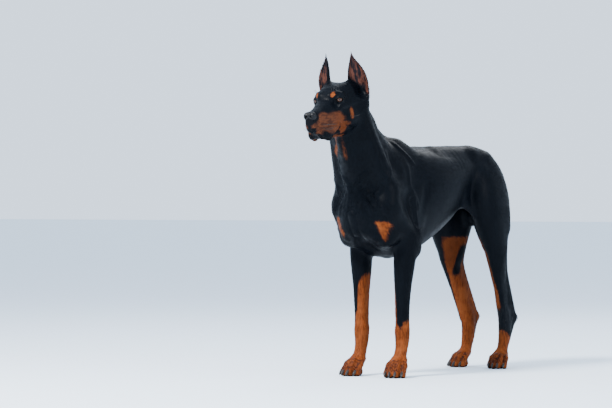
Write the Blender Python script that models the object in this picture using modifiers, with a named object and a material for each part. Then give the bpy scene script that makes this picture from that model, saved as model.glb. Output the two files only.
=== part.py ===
"""A life-size black and rust Doberman pinscher, standing four-square with its head up.

The dog faces -Y, its left side is +X and its pads stand on z = 0, in metres. Landmarks of the
skeleton come first, then strokes of flesh between them. The strokes blend into one skin, which
thin saw cuts then part into head, neck, torso, legs and paws.
"""

import math

import bmesh
import bpy
import numpy as np
from mathutils import Matrix, Vector

SAW = 0.0003  # gap between neighbouring pieces
GRAIN = 0.0055  # voxel of the first rough skin
EAR_GRAIN = 0.0020
EAR_WALL = 0.0036
EAR_FACES = 520
EAR_TURN = {1: math.radians(25), -1: math.radians(33)}  # how far each opens to the side
COARSENESS = 0.00020  # how strongly plain areas are thinned before detailed ones
SKIN_RATIO = 0.077
PROBE = 0.0008  # step used to read which way the skin faces
REACH = 0.03  # how far past its own surface a stroke still counts

WITHERS = (0.0, 0.012, 0.676)
PROSTERNUM = (0.0, -0.126, 0.478)
SHOULDER_POINT = (0.080, -0.086, 0.500)
SCAPULA_TOP = (0.034, 0.022, 0.662)
ELBOW = (0.080, 0.030, 0.380)
WRIST = (0.073, -0.004, 0.135)
FORE_FETLOCK = (0.073, -0.018, 0.050)
HIP = (0.072, 0.455, 0.600)
ISCHIUM = (0.046, 0.532, 0.568)
STIFLE = (0.086, 0.448, 0.392)
HOCK = (0.067, 0.553, 0.150)
HOCK_POINT = (0.070, 0.601, 0.155)
HIND_FETLOCK = (0.067, 0.537, 0.045)
TAIL_ROOT = (0.0, 0.500, 0.634)
TAIL_TIP = (0.0, 0.553, 0.632)
FORE_PAW = 1.0  # sizes of the paws against the drawing of one in lay_paw
HIND_PAW = 0.93
FORE_TURN = {1: math.radians(16), -1: math.radians(2)}  # each paw turned out, left then right
HIND_TURN = {1: math.radians(14), -1: math.radians(8)}
TOE_SPACING = 0.0150

EYES = Vector((0.013, -0.287, 0.802))  # midway between the eyes
HEAD_TURN = math.radians(7)  # towards the dog's left
HEAD_NOD = math.radians(11)  # nose below the level
HEAD_LEAN = math.radians(2)  # right ear lower
EYE_RADIUS = 0.0115
LID_RADIUS = 0.0150
EYE_SPOT = (-0.004, 0.0350, 0.0)  # the left eye's centre: ahead, left and up of EYES


def head_axes():
    """Ahead, left and up of the head, as unit vectors."""
    ahead = Vector((math.sin(HEAD_TURN) * math.cos(HEAD_NOD), -math.cos(HEAD_TURN) * math.cos(HEAD_NOD),
                    -math.sin(HEAD_NOD)))
    left = Vector((math.cos(HEAD_TURN), math.sin(HEAD_TURN), 0.0))
    left.rotate(Matrix.Rotation(HEAD_LEAN, 3, ahead))
    return ahead, left, ahead.cross(left)


AHEAD, LEFT, UP = head_axes()


def on_head(ahead, left, up):
    """A point given in the head's own axes, measured from between the eyes."""
    return EYES + AHEAD * ahead + LEFT * left + UP * up


def on_side(point, side):
    """A left-hand point, or its twin on the right where side is -1."""
    return Vector((point[0] * side, point[1], point[2]))


def through(stations, steps=4):
    """Stations along a limb, filled in by a smooth curve through them."""
    rows = np.array(stations, float)
    padded = np.vstack([2 * rows[0] - rows[1], rows, 2 * rows[-1] - rows[-2]])
    out = []
    for a, b, c, d in zip(padded, padded[1:], padded[2:], padded[3:]):
        for t in np.arange(steps) / steps:
            out.append(0.5 * (2 * b + (c - a) * t + (2 * a - 5 * b + 4 * c - d) * t**2
                              + (3 * b - a - 3 * c + d) * t**3))
    return np.array(out + [rows[-1]])


class Flesh:
    """Strokes of flesh that melt into one another, read as a distance from their common skin."""

    def __init__(self):
        self.strokes = []
        self.beads = []

    def limb(self, stations, blend=0.015, lateral=(1, 0, 0), egg=0.0, power=2.0, carve=False):
        """A tapering limb. A station is its centre, its half width and its half depth."""
        rows = through(stations)
        centres, halves = rows[:, :3], rows[:, 3:5]
        tangents = np.gradient(centres, axis=0)
        tangents /= np.linalg.norm(tangents, axis=1)[:, None]
        wide = np.array(lateral, float) - tangents * (tangents @ np.array(lateral, float))[:, None]
        wide /= np.linalg.norm(wide, axis=1)[:, None]
        deep = np.cross(wide, tangents)

        def distance(points):
            nearest = np.full(len(points), 9.0)
            result = np.full(len(points), 1.0)
            for i in range(len(rows) - 1):
                reach = halves[i:i + 2].max() + blend + REACH
                low = np.minimum(centres[i], centres[i + 1]) - reach
                high = np.maximum(centres[i], centres[i + 1]) + reach
                near = np.where(((points > low) & (points < high)).all(1))[0]
                if not len(near):
                    continue
                leg = centres[i + 1] - centres[i]
                offset = points[near] - centres[i]
                t = np.clip(offset @ leg / (leg @ leg), 0, 1)[:, None]
                v = offset - t * leg
                length = np.sqrt((v * v).sum(1)) + 1e-9
                closer = length < nearest[near]
                near, t, v, length = near[closer], t[closer], v[closer], length[closer]
                half = halves[i] * (1 - t) + halves[i + 1] * t
                x = (v * (wide[i] * (1 - t) + wide[i + 1] * t)).sum(1)
                y = (v * (deep[i] * (1 - t) + deep[i + 1] * t)).sum(1)
                z = (v * (tangents[i] * (1 - t) + tangents[i + 1] * t)).sum(1)
                a, b = half[:, 0], half[:, 1]
                a = a * (1 + egg * np.clip(y / b, -1, 1))
                q = (np.abs(x / a) ** power + np.abs(y / b) ** power
                     + np.abs(z / np.minimum(a, b)) ** power) ** (1 / power) + 1e-9
                nearest[near] = length
                result[near] = length * (1 - 1 / q)
            return result

        for centre, half, w, d, t in zip(centres, halves, wide, deep, tangents):
            thick = max(0.8 * min(half), 0.006)
            self.beads.append((centre, np.array([w * half[0], d * half[1], t * thick])))
        reach = halves.max(1)[:, None]
        self.keep(distance, (centres - reach).min(0), (centres + reach).max(0), blend, carve)

    def muscle(self, start, end, thick, thin=None, belly=0.0, flat=1.0, across=(1, 0, 0), blend=0.012,
               carve=False):
        """A muscle or tendon from start to end, or a groove where it carves."""
        start, end = np.array(start, float), np.array(end, float)
        thin = thick if thin is None else thin
        across = np.array(across, float) / np.linalg.norm(across)
        line = end - start

        def distance(points):
            t = np.clip((points - start) @ line / (line @ line), 0, 1)
            v = points - start - t[:, None] * line
            length = np.sqrt((v * v).sum(1)) + 1e-9
            radius = thick + (thin - thick) * t + belly * 4 * t * (1 - t)
            squeezed = np.sqrt(length**2 + (v @ across) ** 2 * (1 / flat**2 - 1))
            return length * (1 - radius / squeezed)

        most = max(thick, thin) + belly
        self.keep(distance, np.minimum(start, end) - most, np.maximum(start, end) + most, blend, carve)
        if not carve:
            count = max(2, int(np.linalg.norm(line) / (0.6 * min(thick, thin))))
            basis = np.eye(3) - (1 - flat) * np.outer(across, across)
            for t in np.linspace(0, 1, count + 1):
                radius = thick + (thin - thick) * t + belly * 4 * t * (1 - t)
                self.beads.append((start + t * line, basis * radius))

    def lump(self, centre, radii, blend=0.012, axes=None, carve=False):
        """A rounded lump, or a hollow where it carves. Radii lie along the axes."""
        centre, radii = np.array(centre, float), np.array(radii, float)
        axes = np.eye(3) if axes is None else np.array(axes, float)

        def distance(points):
            v = points - centre
            length = np.sqrt((v * v).sum(1)) + 1e-9
            return length * (1 - 1 / (np.sqrt((((v @ axes.T) / radii) ** 2).sum(1)) + 1e-9))

        self.keep(distance, centre - radii.max(), centre + radii.max(), blend, carve)
        if not carve:
            self.beads.append((centre, axes * radii[:, None]))

    def keep(self, distance, low, high, blend, carve=False):
        margin = blend + REACH
        self.strokes.append((distance, np.array(low) - margin, np.array(high) + margin, blend, carve))

    def read(self, points):
        """Distance of each point from the skin, negative inside."""
        field = np.full(len(points), 1.0)
        for distance, low, high, blend, carve in self.strokes:
            near = np.where(((points > low) & (points < high)).all(1))[0]
            if not len(near):
                continue
            old, new = field[near], distance(points[near])
            if carve:
                mix = np.maximum(blend - np.abs(old + new), 0) / blend
                field[near] = np.maximum(old, -new) + mix**2 * blend / 4
            else:
                mix = np.maximum(blend - np.abs(old - new), 0) / blend
                field[near] = np.minimum(old, new) - mix**2 * blend / 4
        return field

    def settle(self, points, rounds=3):
        """Moves points along the way the skin faces until they lie on it."""
        for _ in range(rounds):
            here = self.read(points)
            slope = np.stack([(self.read(points + step) - here) / PROBE for step in np.eye(3) * PROBE], 1)
            steep = np.maximum((slope**2).sum(1), 0.2)
            points = points - slope * np.clip(here / steep, -0.008, 0.008)[:, None]
        return points


def lay_torso(flesh):
    """Ribcage, loin and croup as one barrel, then the muscle that shows on it."""
    flesh.limb([
        (0, -0.090, 0.505, 0.058, 0.074),
        (0, -0.050, 0.512, 0.078, 0.126),
        (0, 0.010, 0.520, 0.088, 0.159),
        (0, 0.085, 0.521, 0.102, 0.162),
        (0, 0.165, 0.535, 0.108, 0.145),
        (0, 0.240, 0.554, 0.103, 0.124),
        (0, 0.310, 0.576, 0.091, 0.102),
        (0, 0.370, 0.584, 0.082, 0.096),
        (0, 0.430, 0.589, 0.078, 0.090),
        (0, 0.480, 0.583, 0.066, 0.072),
        (0, 0.508, 0.578, 0.052, 0.054),
    ], blend=0.02, egg=0.17, power=2.2)
    flesh.muscle(PROSTERNUM, (0, 0.02, 0.372), 0.025, 0.020, belly=0.003, blend=0.035)  # breast bone
    flesh.muscle((0, 0.32, 0.468), (0, 0.262, 0.440), 0.010, 0.009, blend=0.014)  # sheath
    flesh.lump((0, 0.486, 0.462), (0.020, 0.024, 0.024), blend=0.015)
    for side in (1, -1):
        loin = on_side((0.032, 0.20, 0.648), side)
        flesh.muscle(loin, on_side((0.034, 0.42, 0.650), side), 0.030, 0.030, blend=0.02)
        flank = on_side((0.062, 0.33, 0.520), side)
        flesh.muscle(flank, on_side((0.086, 0.434, 0.446), side), 0.020, 0.015, flat=0.5, blend=0.03)


def lay_neck(flesh):
    flesh.limb([
        (0.007, -0.200, 0.790, 0.046, 0.052),
        (0.004, -0.163, 0.745, 0.050, 0.060),
        (0.001, -0.122, 0.690, 0.058, 0.072),
        (0.0, -0.078, 0.630, 0.070, 0.088),
        (0.0, -0.034, 0.565, 0.078, 0.100),
        (0.0, -0.014, 0.530, 0.074, 0.096),
    ], blend=0.04, egg=0.10)
    flesh.muscle(on_head(-0.112, 0, -0.012), WITHERS, 0.021, 0.021, belly=-0.005, flat=0.7, blend=0.03)
    flesh.muscle(on_head(-0.106, 0, -0.006), (0, -0.118, 0.740), 0.028, 0.034, blend=0.035)  # nape
    flesh.muscle(on_head(-0.045, 0, -0.070), (0, -0.112, 0.560), 0.024, 0.022, blend=0.03)
    for side in (1, -1):
        jaw = on_head(-0.090, 0.036 * side, -0.030)
        flesh.muscle(jaw, on_side((0.072, -0.078, 0.548), side), 0.024, 0.034, blend=0.024)
        flesh.muscle(jaw, on_side((0.016, -0.118, 0.516), side), 0.014, 0.016, blend=0.02)


def lay_shoulder(flesh, side):
    top, point, elbow = (on_side(p, side) for p in (SCAPULA_TOP, SHOULDER_POINT, ELBOW))
    out = (side, 0, 0)
    flesh.muscle(top, point, 0.034, 0.034, belly=0.004, flat=0.62, across=(side, -0.35, 0.2), blend=0.035)
    flesh.muscle(on_side((0.050, 0.050, 0.628), side), elbow, 0.036, 0.026, belly=0.022, flat=0.52,
                 across=out, blend=0.026)
    flesh.muscle(point, elbow, 0.031, 0.030, belly=0.004, flat=0.9, across=out, blend=0.035)
    flesh.muscle(on_side((0.046, -0.076, 0.530), side), on_side((0.056, -0.072, 0.440), side),
                 0.030, 0.028, blend=0.035)
    flesh.muscle(on_side((0.024, -0.116, 0.482), side), on_side((0.064, -0.070, 0.410), side),
                 0.028, 0.030, blend=0.035)
    flesh.muscle(on_side((0.024, -0.108, 0.440), side), on_side((0.034, 0.000, 0.380), side),
                 0.028, 0.024, blend=0.035)


def lay_foreleg(flesh, side):
    def at(x, y, z, wide, deep):
        return (x * side, y, z, wide, deep)

    flesh.limb([
        at(0.080, 0.012, 0.405, 0.034, 0.044),
        at(0.079, 0.004, 0.365, 0.032, 0.0385),
        at(0.077, 0.001, 0.325, 0.029, 0.0350),
        at(0.075, -0.001, 0.280, 0.0250, 0.0300),
        at(0.074, -0.002, 0.235, 0.0215, 0.0255),
        at(0.073, -0.002, 0.190, 0.0200, 0.0225),
        at(0.073, -0.002, 0.158, 0.0205, 0.0215),
        at(0.073, -0.003, 0.134, 0.0225, 0.0225),
        at(0.073, -0.003, 0.108, 0.0210, 0.0205),
        at(0.073, -0.008, 0.080, 0.0190, 0.0180),
        at(0.073, -0.017, 0.054, 0.0215, 0.0175),
    ], blend=0.012)
    flesh.lump(on_side((0.078, 0.031, 0.388), side), (0.012, 0.013, 0.018), blend=0.014)  # elbow
    flesh.lump(on_side((0.071, 0.012, 0.140), side), (0.010, 0.010, 0.012), blend=0.010)
    flesh.lump(on_side((0.076, 0.013, 0.112), side), (0.0065, 0.0075, 0.008), blend=0.005)  # carpal pad
    lay_paw(flesh, side, FORE_FETLOCK, FORE_PAW, FORE_TURN[side])


def paw_axes(side, turn):
    """Ahead and outwards on the floor, for a paw turned out from straight ahead."""
    ahead = Vector((math.sin(turn) * side, -math.cos(turn), 0))
    return ahead, Vector((math.cos(turn) * side, math.sin(turn), 0))


def toes(fetlock, size, side, turn):
    """Root, knuckle and tip of each toe of a paw, from the inner toe out."""
    ahead, outward = paw_axes(side, turn)
    for place in (-1.5, -0.5, 0.5, 1.5):
        outer = abs(place) > 1
        spread = place * TOE_SPACING * size
        knuckle = fetlock + ahead * (0.024 if outer else 0.034) * size + outward * spread
        knuckle.z = 0.0345 * size if outer else 0.0395 * size
        tip = fetlock + ahead * (0.043 if outer else 0.056) * size + outward * spread * 1.12
        tip.z = 0.0135 * size
        yield fetlock + ahead * 0.002 + outward * spread * 0.55, knuckle, tip


def lay_paw(flesh, side, fetlock, size, turn):
    """Four arched toes drawn close round a main pad."""
    fetlock = on_side(fetlock, side)
    ahead, outward = paw_axes(side, turn)
    axes = (outward, ahead, (0, 0, 1))
    for root, knuckle, tip in toes(fetlock, size, side, turn):
        flesh.muscle(root, knuckle, 0.0125 * size, 0.0110 * size, blend=0.007)
        flesh.muscle(knuckle, tip, 0.0110 * size, 0.0100 * size, blend=0.004)
        flesh.lump(tip + Vector((0, 0, -0.0045)) * size - ahead * 0.003 * size,
                   np.array((0.0088, 0.0120, 0.0110)) * size, blend=0.003, axes=axes)
    pad = fetlock + ahead * 0.012 * size
    pad.z = 0.012 * size
    flesh.lump(pad, np.array((0.0215, 0.0170, 0.0150)) * size, blend=0.006, axes=axes)
    flesh.muscle(fetlock, pad - ahead * 0.004 * size, 0.0150 * size, 0.0130 * size, blend=0.008)


def lay_haunch(flesh, side):
    def at(x, y, z, wide, deep):
        return (x * side, y, z, wide, deep)

    flesh.limb([
        at(0.050, 0.445, 0.632, 0.040, 0.052),
        at(0.064, 0.450, 0.585, 0.048, 0.086),
        at(0.073, 0.455, 0.530, 0.051, 0.096),
        at(0.077, 0.461, 0.475, 0.049, 0.087),
        at(0.080, 0.469, 0.430, 0.044, 0.071),
        at(0.083, 0.479, 0.385, 0.036, 0.054),
        at(0.084, 0.488, 0.335, 0.028, 0.042),
        at(0.081, 0.500, 0.290, 0.0215, 0.032),
        at(0.077, 0.516, 0.245, 0.0175, 0.0250),
        at(0.072, 0.532, 0.200, 0.0165, 0.0230),
        at(0.069, 0.550, 0.165, 0.0180, 0.0250),
        at(0.0675, 0.555, 0.140, 0.0180, 0.0245),
        at(0.067, 0.553, 0.105, 0.0165, 0.0215),
        at(0.067, 0.548, 0.070, 0.0165, 0.0195),
        at(0.067, 0.539, 0.047, 0.0190, 0.0180),
    ], blend=0.016, lateral=(1, 0.17 * side, 0))
    hip, ischium, point = (on_side(p, side) for p in (HIP, ISCHIUM, HOCK_POINT))
    flesh.lump(ischium, (0.025, 0.023, 0.024), blend=0.03)
    flesh.lump(on_side((0.052, 0.385, 0.652), side), (0.022, 0.024, 0.020), blend=0.03)  # hip bone
    flesh.muscle(hip, on_side((0.092, 0.504, 0.440), side), 0.036, 0.027, belly=0.009, flat=0.7,
                 across=(side, 0, 0), blend=0.025)
    flesh.muscle(on_side((0.030, 0.488, 0.480), side), on_side((0.072, 0.500, 0.350), side), 0.030, 0.020,
                 blend=0.02)
    flesh.muscle(on_side((0.068, 0.400, 0.590), side), on_side(STIFLE, side), 0.034, 0.020, belly=0.006,
                 flat=0.8, across=(side, 0, 0), blend=0.025)
    flesh.lump(on_side((0.084, 0.446, 0.386), side), (0.015, 0.015, 0.018), blend=0.016)  # kneecap
    flesh.muscle(on_side((0.080, 0.518, 0.330), side), point, 0.013, 0.0095, blend=0.018)  # heel tendon
    flesh.muscle(on_side((0.074, 0.530, 0.260), side), on_side((0.069, 0.582, 0.165), side), 0.010, 0.009,
                 blend=0.020)
    flesh.muscle(on_side((0.069, 0.574, 0.150), side), on_side((0.067, 0.562, 0.105), side), 0.011, 0.010,
                 blend=0.014)
    flesh.muscle(point, on_side((0.067, 0.567, 0.082), side), 0.0110, 0.0085, blend=0.014)
    lay_paw(flesh, side, HIND_FETLOCK, HIND_PAW, HIND_TURN[side])


def lay_head(flesh):
    def at(ahead, up, wide, deep):
        return (*on_head(ahead, 0, up), wide, deep)

    frame = (AHEAD, LEFT, UP)
    flesh.limb([
        at(-0.130, 0.002, 0.024, 0.026),
        at(-0.100, -0.006, 0.042, 0.043),
        at(-0.060, -0.011, 0.049, 0.052),
        at(-0.020, -0.014, 0.046, 0.052),
        at(0.010, -0.028, 0.037, 0.040),
        at(0.030, -0.036, 0.031, 0.033),
    ], blend=0.012, lateral=LEFT, power=2.3)
    flesh.limb([
        at(-0.010, -0.046, 0.036, 0.038),
        at(0.030, -0.044, 0.0295, 0.0395),
        at(0.068, -0.049, 0.0265, 0.0390),
        at(0.094, -0.051, 0.0235, 0.0350),
        at(0.104, -0.051, 0.0190, 0.0280),
    ], blend=0.014, lateral=LEFT, power=2.6)
    flesh.limb([
        at(0.080, -0.089, 0.0140, 0.0105),
        at(0.040, -0.092, 0.0195, 0.0125),
        at(-0.005, -0.092, 0.0280, 0.0160),
        at(-0.055, -0.086, 0.0350, 0.0230),
    ], blend=0.012, lateral=LEFT)
    flesh.lump(on_head(0.108, 0, -0.029), (0.0130, 0.0185, 0.0155), blend=0.006, axes=frame)  # nose
    flesh.lump(on_head(-0.116, 0, 0.008), (0.018, 0.016, 0.014), blend=0.022, axes=frame)  # back of the skull
    for side in (1, -1):
        def spot(ahead, left, up):
            return on_head(ahead, left * side, up)

        flesh.lump(spot(-0.058, 0.040, -0.050), (0.040, 0.019, 0.036), axes=frame, blend=0.016)  # cheek
        flesh.lump(spot(-0.070, 0.028, 0.016), (0.042, 0.022, 0.022), axes=frame, blend=0.016)
        flesh.muscle(spot(0.002, 0.0385, -0.020), spot(-0.072, 0.053, -0.012), 0.0090, 0.0095, blend=0.012)
        flesh.muscle(spot(0.012, 0.015, 0.014), spot(-0.014, 0.041, 0.012), 0.0080, 0.0075, blend=0.010)
        flesh.muscle(spot(0.088, 0.0165, -0.084), spot(0.062, 0.0225, -0.089), 0.0155, 0.0165, flat=0.50,
                     across=LEFT, blend=0.010)  # flew
        flesh.muscle(spot(0.062, 0.0225, -0.089), spot(0.012, 0.0310, -0.074), 0.0165, 0.0085, flat=0.54,
                     across=LEFT, blend=0.010)
        flesh.lump(spot(0.018, 0.034, -0.006), (0.011, 0.007, 0.009), axes=frame, blend=0.012, carve=True)
        flesh.lump(spot(*EYE_SPOT), (LID_RADIUS, LID_RADIUS, LID_RADIUS), blend=0.005)


def ear_stations(side):
    """Centre line, half width and half depth of an ear from its root to its tip."""
    rows = (
        (-0.100, 0.053, -0.024, 0.0190, 0.0180),
        (-0.094, 0.0555, 0.004, 0.0265, 0.0195),
        (-0.088, 0.0555, 0.030, 0.0298, 0.0175),
        (-0.088, 0.0535, 0.054, 0.0275, 0.0145),
        (-0.090, 0.0485, 0.077, 0.0203, 0.0108),
        (-0.0915, 0.0440, 0.098, 0.0100, 0.0068),
        (-0.092, 0.0425, 0.112, 0.0040, 0.0036),
        (-0.093, 0.0420, 0.122, 0.0020, 0.0020),
    )
    return [(*on_head(u, v * side, w), wide, deep) for u, v, w, wide, deep in rows]


def ear_turns(side):
    """Across the ear and out of its opening, as unit vectors."""
    turn = EAR_TURN[side]
    across = LEFT * math.cos(turn) * side - AHEAD * math.sin(turn)
    opening = AHEAD * math.cos(turn) + LEFT * math.sin(turn) * side
    return across, opening


def lay_ear(flesh, side):
    across, _ = ear_turns(side)
    flesh.limb(ear_stations(side), blend=0.006, lateral=across)


def lay_ear_cup(flesh, side, carve=False):
    """The hollow of the ear, open to the front and the outside."""
    across, opening = ear_turns(side)
    rows = []
    for x, y, z, wide, deep in ear_stations(side)[1:]:
        depth = max(2 * deep - EAR_WALL, 0.0008)
        centre = Vector((x, y, z)) + opening * deep
        rows.append((*centre, max(wide - 0.5 * EAR_WALL, 0.0008), depth))
    flesh.limb(rows, blend=0.003, lateral=across, carve=carve)


def whole_dog():
    flesh = Flesh()
    lay_torso(flesh)
    lay_neck(flesh)
    for side in (1, -1):
        lay_shoulder(flesh, side)
        lay_foreleg(flesh, side)
        lay_haunch(flesh, side)
    flesh.muscle(TAIL_ROOT, TAIL_TIP, 0.0200, 0.0125, blend=0.02)
    lay_head(flesh)
    return flesh


def new_mesh(name, vertices, faces):
    mesh = bpy.data.meshes.new(name)
    mesh.from_pydata(np.asarray(vertices).tolist(), [], faces)
    body = bpy.data.objects.new(name, mesh)
    bpy.context.scene.collection.objects.link(body)
    return body


def ball_shape(detail):
    """Corners and faces of a unit ball."""
    shape = bmesh.new()
    bmesh.ops.create_icosphere(shape, subdivisions=detail, radius=1)
    corners = np.array([v.co for v in shape.verts])
    faces = [[v.index for v in f.verts] for f in shape.faces]
    shape.free()
    return corners, faces


def corners_of(body):
    corners = np.empty(len(body.data.vertices) * 3)
    body.data.vertices.foreach_get("co", corners)
    return corners.reshape(-1, 3)


def move_corners(body, corners):
    body.data.vertices.foreach_set("co", corners.ravel())
    body.data.update()


def apply_all(body):
    """Bakes the modifiers of a body into its mesh."""
    baked = bpy.data.meshes.new_from_object(body.evaluated_get(bpy.context.evaluated_depsgraph_get()))
    body.modifiers.clear()
    old = body.data
    body.data = baked
    bpy.data.meshes.remove(old)
    return body


def relaxed(body, corners, amount=0.5):
    """Corners drawn towards the middle of their neighbours."""
    edges = np.empty(len(body.data.edges) * 2, int)
    body.data.edges.foreach_get("vertices", edges)
    one, two = edges.reshape(-1, 2).T
    count = len(corners)
    ways = np.bincount(one, minlength=count) + np.bincount(two, minlength=count)
    middle = np.stack([np.bincount(one, corners[two, k], count) + np.bincount(two, corners[one, k], count)
                       for k in range(3)], 1) / ways[:, None]
    return corners + amount * (middle - corners)


def grow_skin(name, flesh, grain, rounds=3):
    """A closed skin: beads along every stroke, merged by voxels, then drawn onto the flesh."""
    corners, faces = ball_shape(2)
    vertices = np.concatenate([centre + corners @ np.array(axes) for centre, axes in flesh.beads])
    whole = [[i + k * len(corners) for i in face] for k in range(len(flesh.beads)) for face in faces]
    body = new_mesh(name, vertices, whole)
    remesh = body.modifiers.new("merge", "REMESH")
    remesh.mode = "VOXEL"
    remesh.voxel_size = grain
    apply_all(body)
    points = corners_of(body)
    for _ in range(rounds):
        points = flesh.settle(relaxed(body, relaxed(body, points)), 1)
    move_corners(body, flesh.settle(points, 1))
    keep_largest(body)
    return body


def keep_largest(body):
    """Drops every closed surface of a body but the largest."""
    shape = bmesh.new()
    shape.from_mesh(body.data)
    shape.verts.ensure_lookup_table()
    seen, best = set(), []
    for start in shape.verts:
        if start.index in seen:
            continue
        shell, stack = [], [start]
        seen.add(start.index)
        while stack:
            vertex = stack.pop()
            shell.append(vertex)
            for edge in vertex.link_edges:
                other = edge.other_vert(vertex)
                if other.index not in seen:
                    seen.add(other.index)
                    stack.append(other)
        if len(shell) > len(best):
            best = shell
    keep = set(best)
    bmesh.ops.delete(shape, geom=[v for v in shape.verts if v not in keep], context="VERTS")
    shape.to_mesh(body.data)
    shape.free()


def thin_out(body, ratio, firmness=None):
    """Fewer triangles, the fewest where firmness is 1 and the most where it is near 0."""
    triangles = body.modifiers.new("triangles", "TRIANGULATE")
    triangles.quad_method = "BEAUTY"
    thin = body.modifiers.new("thin", "DECIMATE")
    thin.ratio = ratio
    if firmness is not None:
        group = body.vertex_groups.new(name="coarse")
        for level in np.unique(firmness):
            group.add(np.where(firmness == level)[0].tolist(), float(level), "REPLACE")
        thin.vertex_group = "coarse"
        thin.vertex_group_factor = COARSENESS
    apply_all(body)
    body.vertex_groups.clear()


def combine(body, other, how, solver="EXACT"):
    """Adds, cuts or keeps the common part of two bodies, and drops the other one."""
    tool = body.modifiers.new(how, "BOOLEAN")
    tool.operation = how
    tool.solver = solver
    tool.object = other
    apply_all(body)
    keep_largest(body)
    bpy.data.objects.remove(other)


def copy_of(body, name):
    twin = body.copy()
    twin.data = body.data.copy()
    twin.name = name
    bpy.context.scene.collection.objects.link(twin)
    return twin


def ball_cutter(centre, radii, axes=None, detail=4):
    corners, faces = ball_shape(detail)
    axes = np.eye(3) if axes is None else np.array(axes, float)
    return new_mesh("ball", np.array(centre) + corners * np.array(radii) @ axes, faces)


def box_cutter(centre, size, turn=None):
    shape = bmesh.new()
    bmesh.ops.create_cube(shape, size=1, matrix=Matrix.Diagonal((*size, 1)))
    if turn is not None:
        bmesh.ops.rotate(shape, verts=shape.verts, matrix=turn)
    bmesh.ops.translate(shape, verts=shape.verts, vec=Vector(centre))
    corners = [v.co[:] for v in shape.verts]
    faces = [[v.index for v in f.verts] for f in shape.faces]
    shape.free()
    return new_mesh("box", corners, faces)


def part_off(body, name, region):
    """Parts a named piece off a body. region(grow) makes the space the piece fills."""
    piece = copy_of(body, name)
    combine(piece, region(0.0), "INTERSECT")
    combine(body, region(SAW), "DIFFERENCE")
    return piece


def slab(centre, facing, grow):
    """A big block on the side of a plane that facing points to."""
    facing = Vector(facing).normalized()
    turn = facing.to_track_quat("Z", "Y").to_matrix()
    return box_cutter(Vector(centre) + facing * (0.25 - grow), (0.5, 0.5, 0.5), turn)


def limb_region(side, centre, radii, low, high, grow):
    """A ball round the top of a limb and a block round the rest of it."""
    ball = ball_cutter(on_side(centre, side), [r + grow for r in radii], detail=2)
    size = [h - l + 2 * grow for l, h in zip(low, high)]
    middle = on_side([(l + h) / 2 for l, h in zip(low, high)], side)
    combine(ball, box_cutter(middle, size), "UNION")
    return ball


FIRM_REGIONS = (
    # centre, reach, coarseness inside
    ((0.012, -0.300, 0.790), 0.140, 0.35),
    ((0.073, -0.030, 0.020), 0.075, 0.45),
    ((-0.073, -0.030, 0.020), 0.075, 0.45),
    ((0.067, 0.500, 0.020), 0.080, 0.50),
    ((-0.067, 0.500, 0.020), 0.080, 0.50),
    ((0.0, 0.550, 0.630), 0.045, 0.40),
)


def firmness_at(points):
    """How far each corner may be thinned: 1 on plain areas, little on the head and paws."""
    level = np.full(len(points), 1.0)
    for centre, reach, inside in FIRM_REGIONS:
        level[np.linalg.norm(points - centre, axis=1) < reach] = inside
    return level


def paint(body, colour, roughness):
    material = bpy.data.materials.new(body.name)
    material.use_nodes = True
    shader = material.node_tree.nodes["Principled BSDF"]
    shader.inputs["Base Color"].default_value = (*colour, 1)
    shader.inputs["Roughness"].default_value = roughness
    material.diffuse_color = (*colour, 1)
    body.data.materials.clear()
    body.data.materials.append(material)
    body.data.shade_smooth()
    body.data.set_sharp_from_angle(angle=math.radians(45))


BLACK = (0.013, 0.015, 0.020)
RUST = (0.300, 0.100, 0.032)
EAR_SKIN = (0.120, 0.055, 0.045)
NOSE_BLACK = (0.008, 0.008, 0.009)
EYE_BROWN = (0.045, 0.020, 0.010)


def eye_centre(side):
    ahead, left, up = EYE_SPOT
    return on_head(ahead, left * side, up)


def gaze(side):
    return (AHEAD * 0.80 + LEFT * 0.60 * side).normalized()


def open_lids(head, side):
    """Cuts the socket of the eye and the slit between the lids."""
    centre, look = eye_centre(side), gaze(side)
    flat = UP.cross(look).normalized()
    socket = EYE_RADIUS + SAW
    hollow = ball_cutter(centre, (socket, socket, socket), detail=3)
    slit = ball_cutter(centre + look * 0.011, (0.0100, 0.0108, 0.0062), (look, flat, look.cross(flat)), 3)
    combine(hollow, slit, "UNION")
    combine(head, hollow, "DIFFERENCE")


def add_claws(paw, side, fetlock, size, turn):
    """Fuses a short blunt claw to the tip of each toe."""
    ahead, _ = paw_axes(side, turn)
    for _, _, tip in toes(on_side(fetlock, side), size, side, turn):
        root = tip + ahead * 0.003 * size + Vector((0, 0, 0.0035 * size))
        end = tip + ahead * 0.0180 * size
        end.z = 0.0040 * size
        lean = (end - root).to_track_quat("Z", "Y").to_matrix().to_4x4()
        shape = bmesh.new()
        bmesh.ops.create_cone(shape, cap_ends=True, segments=8, radius1=0.0060 * size,
                              radius2=0.0018 * size, depth=(end - root).length,
                              matrix=Matrix.Translation((root + end) / 2) @ lean)
        corners = [v.co[:] for v in shape.verts]
        faces = [[v.index for v in f.verts] for f in shape.faces]
        shape.free()
        combine(paw, new_mesh("claw", corners, faces), "UNION")


def mouth_path(flesh, side):
    rows = ((0.113, 0.000, -0.064), (0.108, 0.008, -0.076), (0.094, 0.020, -0.092), (0.068, 0.030, -0.100),
            (0.044, 0.034, -0.096), (0.020, 0.037, -0.083), (0.004, 0.040, -0.068))
    path = through([on_head(u, v * side, w) for u, v, w in rows], 3)
    return flesh.settle(path, 6)


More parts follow.
